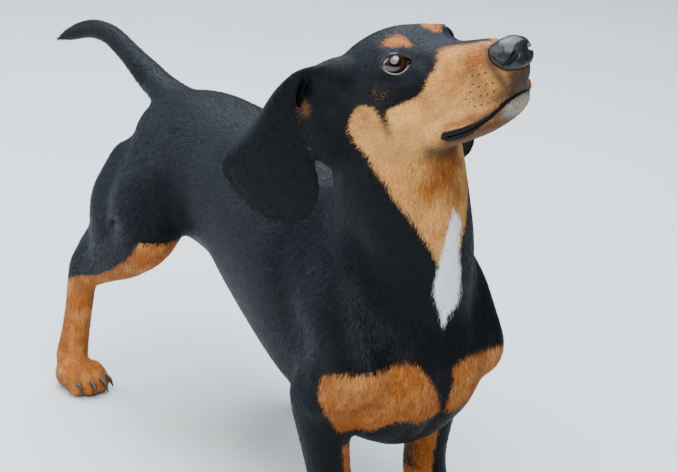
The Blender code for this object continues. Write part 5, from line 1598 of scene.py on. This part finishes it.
def dachshund_marks(grain):
    """Black, tan and white of the coat, with hairy borders, dark marks and painted shade on the tan, and the bare black
    skin of lips and lids.
    """
    tree, start, end = group("dachshund_marks", (("Grain", "NodeSocketFloat"), ("Broad", "NodeSocketFloat")), (("Colour", "NodeSocketColor"), ("Bare", "NodeSocketFloat"), ("Black", "NodeSocketFloat")))
    ragged = math_of(tree, "MULTIPLY_ADD", math_of(tree, "SUBTRACT", start.outputs["Grain"], 0.5), 0.0052, 0.0)
    patches = math_of(tree, "MULTIPLY_ADD", math_of(tree, "SUBTRACT", start.outputs["Broad"], 0.5), 0.0030, ragged)
    black = blend_colour(tree, ramp_between(tree, start.outputs["Grain"], 0.35, 0.80), BLACK_DEEP, BLACK_WORN)
    fine = ramp_between(tree, start.outputs["Grain"], 0.30, 0.72)
    pale = blend_colour(tree, fine, TAN_PALE_DEEP, TAN_PALE)
    warm = blend_colour(tree, fine, TAN_WARM_DEEP, TAN_WARM)
    warmth = math_of(tree, "MULTIPLY_ADD", math_of(tree, "SUBTRACT", start.outputs["Broad"], 0.5), 0.5, read(tree, "warmth"), clamp=True)
    tan = blend_colour(tree, warmth, pale, warm)
    tan_depth = math_of(tree, "ADD", read(tree, "tan"), patches)
    tan_share = ramp_between(tree, tan_depth, -0.0012, 0.0014)
    speckled = math_of(tree, "MULTIPLY", read(tree, "speck"), ramp_between(tree, start.outputs["Grain"], 0.53, 0.66))
    tan_share = math_of(tree, "MAXIMUM", tan_share, math_of(tree, "MULTIPLY", speckled, 0.24))
    colour = blend_colour(tree, tan_share, black, tan)
    white = blend_colour(tree, fine, BLAZE_GREY, BLAZE_WHITE)
    white_share = ramp_between(tree, math_of(tree, "ADD", read(tree, "white"), patches), -0.0012, 0.0016)
    colour = blend_colour(tree, white_share, colour, white)
    # Dark marks and painted shade darken the colour where the skin notes them.
    smudge = math_of(tree, "MULTIPLY", read(tree, "smudge"), ramp_between(tree, start.outputs["Grain"], 1.05, 0.50))
    colour = blend_colour(tree, math_of(tree, "MULTIPLY", smudge, 0.94), colour, DARK_MARK_AND_SHADE)
    frost = math_of(tree, "MULTIPLY", read(tree, "frost"), ramp_between(tree, start.outputs["Grain"], 0.28, 0.66))
    colour = blend_colour(tree, math_of(tree, "MULTIPLY", frost, 0.95), colour, FROST_GREY)
    bare = ramp_between(tree, read(tree, "bare"), -0.0004, 0.0004)
    colour = blend_colour(tree, bare, colour, BARE_BLACK)
    tree.links.new(colour, end.inputs["Colour"])
    tree.links.new(bare, end.inputs["Bare"])
    black_share = math_of(tree, "SUBTRACT", 1.0, math_of(tree, "MAXIMUM", tan_share, white_share), clamp=True)
    tree.links.new(black_share, end.inputs["Black"])
    return tree


def new_material(name):
    made = bpy.data.materials.new(name)
    made.use_nodes = True
    tree = made.node_tree
    return made, tree, tree.nodes["Principled BSDF"]


def skin_material(grain, marks):
    made, tree, shader = new_material("short_coat")
    comb = read(tree, "comb", True)
    fine = put(tree, "ShaderNodeGroup", {}, node_tree=grain)
    broad = put(tree, "ShaderNodeGroup", {}, node_tree=grain)
    for node, length, width in ((fine, 0.0060, 0.00042), (broad, 0.0180, 0.00300)):
        tree.links.new(comb, node.inputs["Comb"])
        node.inputs["Length"].default_value = length
        node.inputs["Width"].default_value = width
    looks = put(tree, "ShaderNodeGroup", {"Grain": fine.outputs[0], "Broad": broad.outputs[0]}, node_tree=marks)
    tree.links.new(looks.outputs["Colour"], shader.inputs["Base Color"])
    rough_coat = math_of(tree, "MULTIPLY_ADD", fine.outputs[0], 0.30, 0.36)
    rough_all = math_of(tree, "MULTIPLY_ADD", looks.outputs["Black"], -0.16, math_of(tree, "ADD", rough_coat, 0.16))
    rough_all = math_of(tree, "MULTIPLY_ADD", looks.outputs["Bare"], -0.14, rough_all)
    tree.links.new(rough_all, shader.inputs["Roughness"])
    height = math_of(tree, "MULTIPLY_ADD", broad.outputs[0], 1.4, fine.outputs[0])
    height = math_of(tree, "MULTIPLY", height, math_of(tree, "SUBTRACT", 1.0, math_of(tree, "MULTIPLY", looks.outputs["Bare"], 0.8)))
    bump = put(tree, "ShaderNodeBump", {"Strength": 0.55, "Distance": 0.0006, "Height": height})
    tree.links.new(bump.outputs[0], shader.inputs["Normal"])
    shader.inputs["Specular IOR Level"].default_value = 0.10
    shader.inputs["Sheen Weight"].default_value = 0.04
    shader.inputs["Sheen Roughness"].default_value = 0.45
    shader.inputs["Sheen Tint"].default_value = (0.72, 0.80, 1.0, 1.0)
    return made


def tuft_material(grain, marks):
    made, tree, shader = new_material("coat_tufts")
    tone = read(tree, "tone")
    comb = read(tree, "comb", True)
    broad = put(tree, "ShaderNodeGroup", {}, node_tree=grain)
    tree.links.new(comb, broad.inputs["Comb"])
    broad.inputs["Length"].default_value = 0.0180
    broad.inputs["Width"].default_value = 0.00300
    streak = math_of(tree, "MULTIPLY_ADD", tone, 0.5, 0.22)
    looks = put(tree, "ShaderNodeGroup", {"Grain": streak, "Broad": broad.outputs[0]}, node_tree=marks)
    tree.links.new(looks.outputs["Colour"], shader.inputs["Base Color"])
    rough_tuft = math_of(tree, "MULTIPLY_ADD", tone, 0.22, math_of(tree, "MULTIPLY_ADD", looks.outputs["Black"], -0.16, 0.50))
    tree.links.new(rough_tuft, shader.inputs["Roughness"])
    shader.inputs["Specular IOR Level"].default_value = 0.10
    shader.inputs["Sheen Weight"].default_value = 0.04
    shader.inputs["Sheen Roughness"].default_value = 0.45
    shader.inputs["Sheen Tint"].default_value = (0.72, 0.80, 1.0, 1.0)
    return made


def leather_material():
    made, tree, shader = new_material("nose_leather")
    place = put(tree, "ShaderNodeTexCoord").outputs["Object"]
    cells = put(tree, "ShaderNodeTexVoronoi", {"Vector": place, "Scale": 1150.0, "Smoothness": 0.35}, feature="SMOOTH_F1")
    broad = put(tree, "ShaderNodeTexNoise", {"Vector": place, "Scale": 160.0, "Detail": 3.0})
    share = ramp_between(tree, broad.outputs["Fac"], 0.3, 0.7)
    leather = blend_colour(tree, share, (0.0045, 0.0046, 0.0056), (0.0125, 0.0125, 0.0150))
    # Painted shade: the leather turns near-black into the nostrils.
    nostril_shade = read(tree, "nostril_shade")
    tree.links.new(blend_colour(tree, nostril_shade, leather, (0.0010, 0.0010, 0.0012)), shader.inputs["Base Color"])
    rough_leather = math_of(tree, "MULTIPLY_ADD", broad.outputs["Fac"], 0.22, 0.23)
    tree.links.new(math_of(tree, "MAXIMUM", rough_leather, math_of(tree, "MULTIPLY", nostril_shade, 0.95)), shader.inputs["Roughness"])
    height = math_of(tree, "MULTIPLY_ADD", cells.outputs["Distance"], -1.0, 1.0)
    bump = put(tree, "ShaderNodeBump", {"Strength": 0.45, "Distance": 0.0003, "Height": height})
    tree.links.new(bump.outputs[0], shader.inputs["Normal"])
    shader.inputs["Specular IOR Level"].default_value = 0.36
    return made


PUPIL_EDGE = 24.0
IRIS_EDGE = 45.0


def eye_material():
    made, tree, shader = new_material("brown_eye")
    off = read(tree, "off_axis")
    place = put(tree, "ShaderNodeTexCoord").outputs["Object"]
    fibres = put(tree, "ShaderNodeTexNoise", {"Vector": place, "Scale": 900.0, "Detail": 3.0}).outputs["Fac"]
    iris = blend_colour(tree, ramp_between(tree, fibres, 0.35, 0.65), (0.012, 0.0040, 0.0020), (0.046, 0.0150, 0.0056))
    ring = ramp_between(tree, off, IRIS_EDGE - 9.0, IRIS_EDGE)
    iris = blend_colour(tree, ring, iris, (0.009, 0.004, 0.003))
    pupil = ramp_between(tree, off, PUPIL_EDGE - 1.5, PUPIL_EDGE + 1.5)
    colour = blend_colour(tree, pupil, (0.002, 0.002, 0.003), iris)
    white = ramp_between(tree, off, IRIS_EDGE, IRIS_EDGE + 3.0)
    colour = blend_colour(tree, white, colour, (0.095, 0.065, 0.055))
    tree.links.new(colour, shader.inputs["Base Color"])
    shader.inputs["Roughness"].default_value = 0.18
    shader.inputs["Coat Weight"].default_value = 1.0
    shader.inputs["Coat Roughness"].default_value = 0.015
    shader.inputs["Coat IOR"].default_value = 1.72
    shader.inputs["Specular IOR Level"].default_value = 0.0
    return made


def rim_material():
    made, tree, shader = new_material("lid_edge")
    lower = read(tree, "lower")
    place = put(tree, "ShaderNodeTexCoord").outputs["Object"]
    mottled = put(tree, "ShaderNodeTexNoise", {"Vector": place, "Scale": 700.0, "Detail": 2.0}).outputs["Fac"]
    share = math_of(tree, "MULTIPLY", ramp_between(tree, lower, 0.15, 0.75), ramp_between(tree, mottled, 0.1, 0.7))
    tree.links.new(blend_colour(tree, share, (0.0050, 0.0045, 0.0050), (0.200, 0.160, 0.190)), shader.inputs["Base Color"])
    tree.links.new(math_of(tree, "MULTIPLY_ADD", mottled, 0.12, 0.22), shader.inputs["Roughness"])
    bump = put(tree, "ShaderNodeBump", {"Strength": 0.25, "Distance": 0.0002, "Height": mottled})
    tree.links.new(bump.outputs[0], shader.inputs["Normal"])
    return made


def tear_material():
    made, tree, shader = new_material("tear_corner")
    place = put(tree, "ShaderNodeTexCoord").outputs["Object"]
    mottled = put(tree, "ShaderNodeTexNoise", {"Vector": place, "Scale": 900.0}).outputs["Fac"]
    tree.links.new(blend_colour(tree, mottled, (0.030, 0.012, 0.012), (0.090, 0.040, 0.038)), shader.inputs["Base Color"])
    shader.inputs["Roughness"].default_value = 0.15
    return made


def claw_material():
    made, tree, shader = new_material("claw_horn")
    place = put(tree, "ShaderNodeTexCoord").outputs["Object"]
    bands = put(tree, "ShaderNodeTexNoise", {"Vector": place, "Scale": 420.0, "Detail": 4.0}).outputs["Fac"]
    tree.links.new(blend_colour(tree, ramp_between(tree, bands, 0.35, 0.7), (0.010, 0.008, 0.007), (0.060, 0.042, 0.032)), shader.inputs["Base Color"])
    tree.links.new(math_of(tree, "MULTIPLY_ADD", bands, 0.2, 0.28), shader.inputs["Roughness"])
    bump = put(tree, "ShaderNodeBump", {"Strength": 0.3, "Distance": 0.0002, "Height": bands})
    tree.links.new(bump.outputs[0], shader.inputs["Normal"])
    return made


def whisker_beds(skin_tree):
    """Small dark pores in rows on the upper lip, each with a short whisker."""
    pores = []
    hairs = []
    draw = np.random.default_rng(SEED + 5)
    for pixel in PORES_PX:
        seen = seen_spot(skin_tree, pixel)
        if seen is None:
            continue
        ahead, out, height = (float(v) for v in in_head_frame(np.array(seen)))
        for side in (-1, 1):
            start = at_head(ahead, side * 0.045, height)
            spot, normal, face, gap = skin_tree.ray_cast(start, -HEAD_LEFT * side)
            if spot is None:
                continue
            turn = normal.to_track_quat("Z", "Y").to_matrix()
            pores.append(bulge("pore", spot, (0.00080, 0.00072, 0.00034), turn, 8))
            way = (normal * 0.75 - HEAD_FORWARD * 0.55 - HEAD_UP * 0.25).normalized()
            length = 0.005 + 0.007 * draw.uniform()
            bend = spot + way * length * 0.5
            tip = spot + way * length - HEAD_UP * length * 0.18 - HEAD_FORWARD * length * 0.15
            rows = [(*spot, *[0.000055] * 3), (*bend, *[0.00004] * 3), (*tip, *[0.000015] * 3)]
            hairs.append(limb("whisker", rows, HEAD_UP, sides=4, step=0.004, domes=(45,)))
    return joined("whisker_pores", pores), joined("whiskers", hairs)


def hair_material():
    made, tree, shader = new_material("whisker_hair")
    place = put(tree, "ShaderNodeTexCoord").outputs["Object"]
    mottled = put(tree, "ShaderNodeTexNoise", {"Vector": place, "Scale": 300.0}).outputs["Fac"]
    tree.links.new(blend_colour(tree, mottled, (0.006, 0.005, 0.005), (0.030, 0.022, 0.018)), shader.inputs["Base Color"])
    shader.inputs["Roughness"].default_value = 0.35
    return made


def floor_piece():
    """A plain pale floor that rises softly behind the dog."""
    mesh = bmesh.new()
    rows = []
    back = -Vector((VIEW_BACK.x, VIEW_BACK.y, 0)).normalized()
    side = Vector((-back.y, back.x, 0))
    for k in range(25):
        t = k / 24
        reach = -2.6 + 7.6 * min(t / 0.7, 1)
        bend = max(0.0, (t - 0.55) / 0.45)
        spot = back * (reach if bend == 0 else 3.37 + 1.6 * math.sin(bend * math.pi / 2))
        lift = 1.9 * (1 - math.cos(bend * math.pi / 2))
        rows.append([mesh.verts.new(spot + side * s * 4.5 + UP * lift) for s in (-1, 1)])
    for low, high in zip(rows, rows[1:]):
        mesh.faces.new((low[0], low[1], high[1], high[0]))
    bmesh.ops.recalc_face_normals(mesh, faces=mesh.faces)
    data = bpy.data.meshes.new("studio_floor")
    mesh.to_mesh(data)
    mesh.free()
    data.polygons.foreach_set("use_smooth", [True] * len(data.polygons))
    made = bpy.data.objects.new("studio_floor", data)
    bpy.context.scene.collection.objects.link(made)
    paint, tree, shader = new_material("studio_paper")
    place = put(tree, "ShaderNodeTexCoord").outputs["Object"]
    mottled = put(tree, "ShaderNodeTexNoise", {"Vector": place, "Scale": 3.0, "Detail": 4.0}).outputs["Fac"]
    tree.links.new(blend_colour(tree, mottled, (0.56, 0.57, 0.56), (0.62, 0.63, 0.62)), shader.inputs["Base Color"])
    shader.inputs["Roughness"].default_value = 0.9
    data.materials.append(paint)


# Studio lights: place, aim, size in metres, power in watts, colour.
LIGHTS = {
    "key_softbox": ((-1.30, -1.10, 2.15), (0.0, 0.1, 0.2), 3.0, 98.0, (0.99, 0.99, 0.98)),
    "front_sky": ((-0.45, -0.75, 2.40), (0.0, 0.1, 0.2), 1.8, 66.0, (0.84, 0.92, 1.0)),
    "back_sky": ((0.35, 1.05, 2.1), (0.0, 0.3, 0.2), 2.0, 125.0, (0.76, 0.88, 1.0)),
    "side_sky": ((-1.35, 1.75, 1.15), (0.0, 0.25, 0.2), 2.0, 50.0, (0.70, 0.84, 1.0)),
    "fill_softbox": ((1.9, -1.6, 0.9), (0.0, 0.0, 0.25), 1.4, 4.0, (0.95, 0.97, 1.0)),
}


def studio():
    """Camera, lights and the pale room."""
    stand = STAND
    camera = bpy.data.objects.new("camera", bpy.data.cameras.new("camera"))
    bpy.context.scene.collection.objects.link(camera)
    camera.data.sensor_width = SENSOR_MM
    camera.data.lens = SENSOR_MM * VIEW_FOCUS_PX / PHOTO_WIDE
    camera.data.clip_start = 0.05
    place = VIEW_PLACE - stand
    rows = zip(VIEW_RIGHT, VIEW_UP, VIEW_BACK, place)
    camera.matrix_world = Matrix([*rows, (0, 0, 0, 1)])
    bpy.context.scene.camera = camera
    for name, (spot, aim, size, power, colour) in LIGHTS.items():
        lamp = bpy.data.lights.new(name, "AREA")
        lamp.shape = "DISK"
        lamp.size = size
        lamp.energy = power
        lamp.color = colour
        made = bpy.data.objects.new(name, lamp)
        bpy.context.scene.collection.objects.link(made)
        made.location = Vector(spot) - stand
        made.rotation_euler = (Vector(spot) - Vector(aim)).to_track_quat("Z", "Y").to_euler()
    world = bpy.data.worlds.new("pale_room")
    bpy.context.scene.world = world
    world.use_nodes = True
    world.node_tree.nodes["Background"].inputs["Color"].default_value = (0.86, 0.90, 0.95, 1)
    world.node_tree.nodes["Background"].inputs["Strength"].default_value = 0.10
    floor_piece()


def worn(made, material):
    made.data.materials.clear()
    made.data.materials.append(material)


def set_in_frame(made, nodes=()):
    """Moves a finished piece to the solids' place and ties it to the frame."""
    made.data.transform(Matrix.Translation(-STAND))
    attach(made, "root")
    if nodes:
        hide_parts(*nodes)


FLESH = ("torso", "neck", "head", "tail", "ear_left", "ear_right", "foreleg_left", "foreleg_right",
         "hindleg_left", "hindleg_right", "forepaw_left", "forepaw_right", "hindpaw_left", "hindpaw_right")


def main():
    grain = combed_grain()
    marks = dachshund_marks(grain)
    coat_of_skin = skin_material(grain, marks)
    coat_of_tufts = tuft_material(grain, marks)
    skin, sheets = grown_skin()
    skin.data.polygons.foreach_set("use_smooth", [True] * len(skin.data.polygons))
    points, normals = points_of(skin), normals_of(skin)
    ear, inner = ear_shares(points, sheets)
    lie = lie_of(points, normals, ear)
    found = Marks(points, normals, ear, inner)
    fields = {"points": points, "normals": normals, "lie": lie, "corners": corners_of(skin), "ear": ear}
    for mark in MARK_NAMES:
        fields[mark] = np.asarray(getattr(found, mark), float)
        note(skin, mark, fields[mark])
    note_colour(skin, "comb", combing(lie))
    worn(skin, coat_of_skin)
    draw = np.random.default_rng(SEED)
    coats = []
    for name, chosen in coat_regions(fields).items():
        count, length, width, lift, splay = COAT_PARTS[name]
        roots = scatter(skin, fields, chosen, count, draw)
        size = np.full(count, length)
        coats.append(tufts(name, skin, roots, size, width, lift, splay, draw))
        worn(coats[-1], coat_of_tufts)
    tree = BVHTree.FromPolygons([tuple(p) for p in points], [tuple(c) for c in fields["corners"]])
    pores, hairs = whisker_beds(tree)
    whisker_look = hair_material()
    worn(pores, whisker_look)
    worn(hairs, whisker_look)
    leather, eye_look, rim_look, tear_look, horn = leather_material(), eye_material(), rim_material(), tear_material(), claw_material()
    pad = nose_piece()
    worn(pad, leather)
    set_in_frame(pad, ("nose",))
    for side, word in ((-1, "right"), (1, "left")):
        ball = eyeball(side)
        worn(ball, eye_look)
        set_in_frame(ball, (f"eye_{word}",))
        for piece, look in ((lid_rim(side), rim_look), (tear_corner(side), tear_look)):
            worn(piece, look)
            set_in_frame(piece)
    for place, sizes in PAWS.items():
        foot = claw_set(f"claws_{place}", *sizes)
        worn(foot, horn)
        set_in_frame(foot)
    set_in_frame(skin, FLESH)
    for piece in coats + [pores, hairs]:
        set_in_frame(piece)
    studio()


main()
bpy.context.view_layer.update()
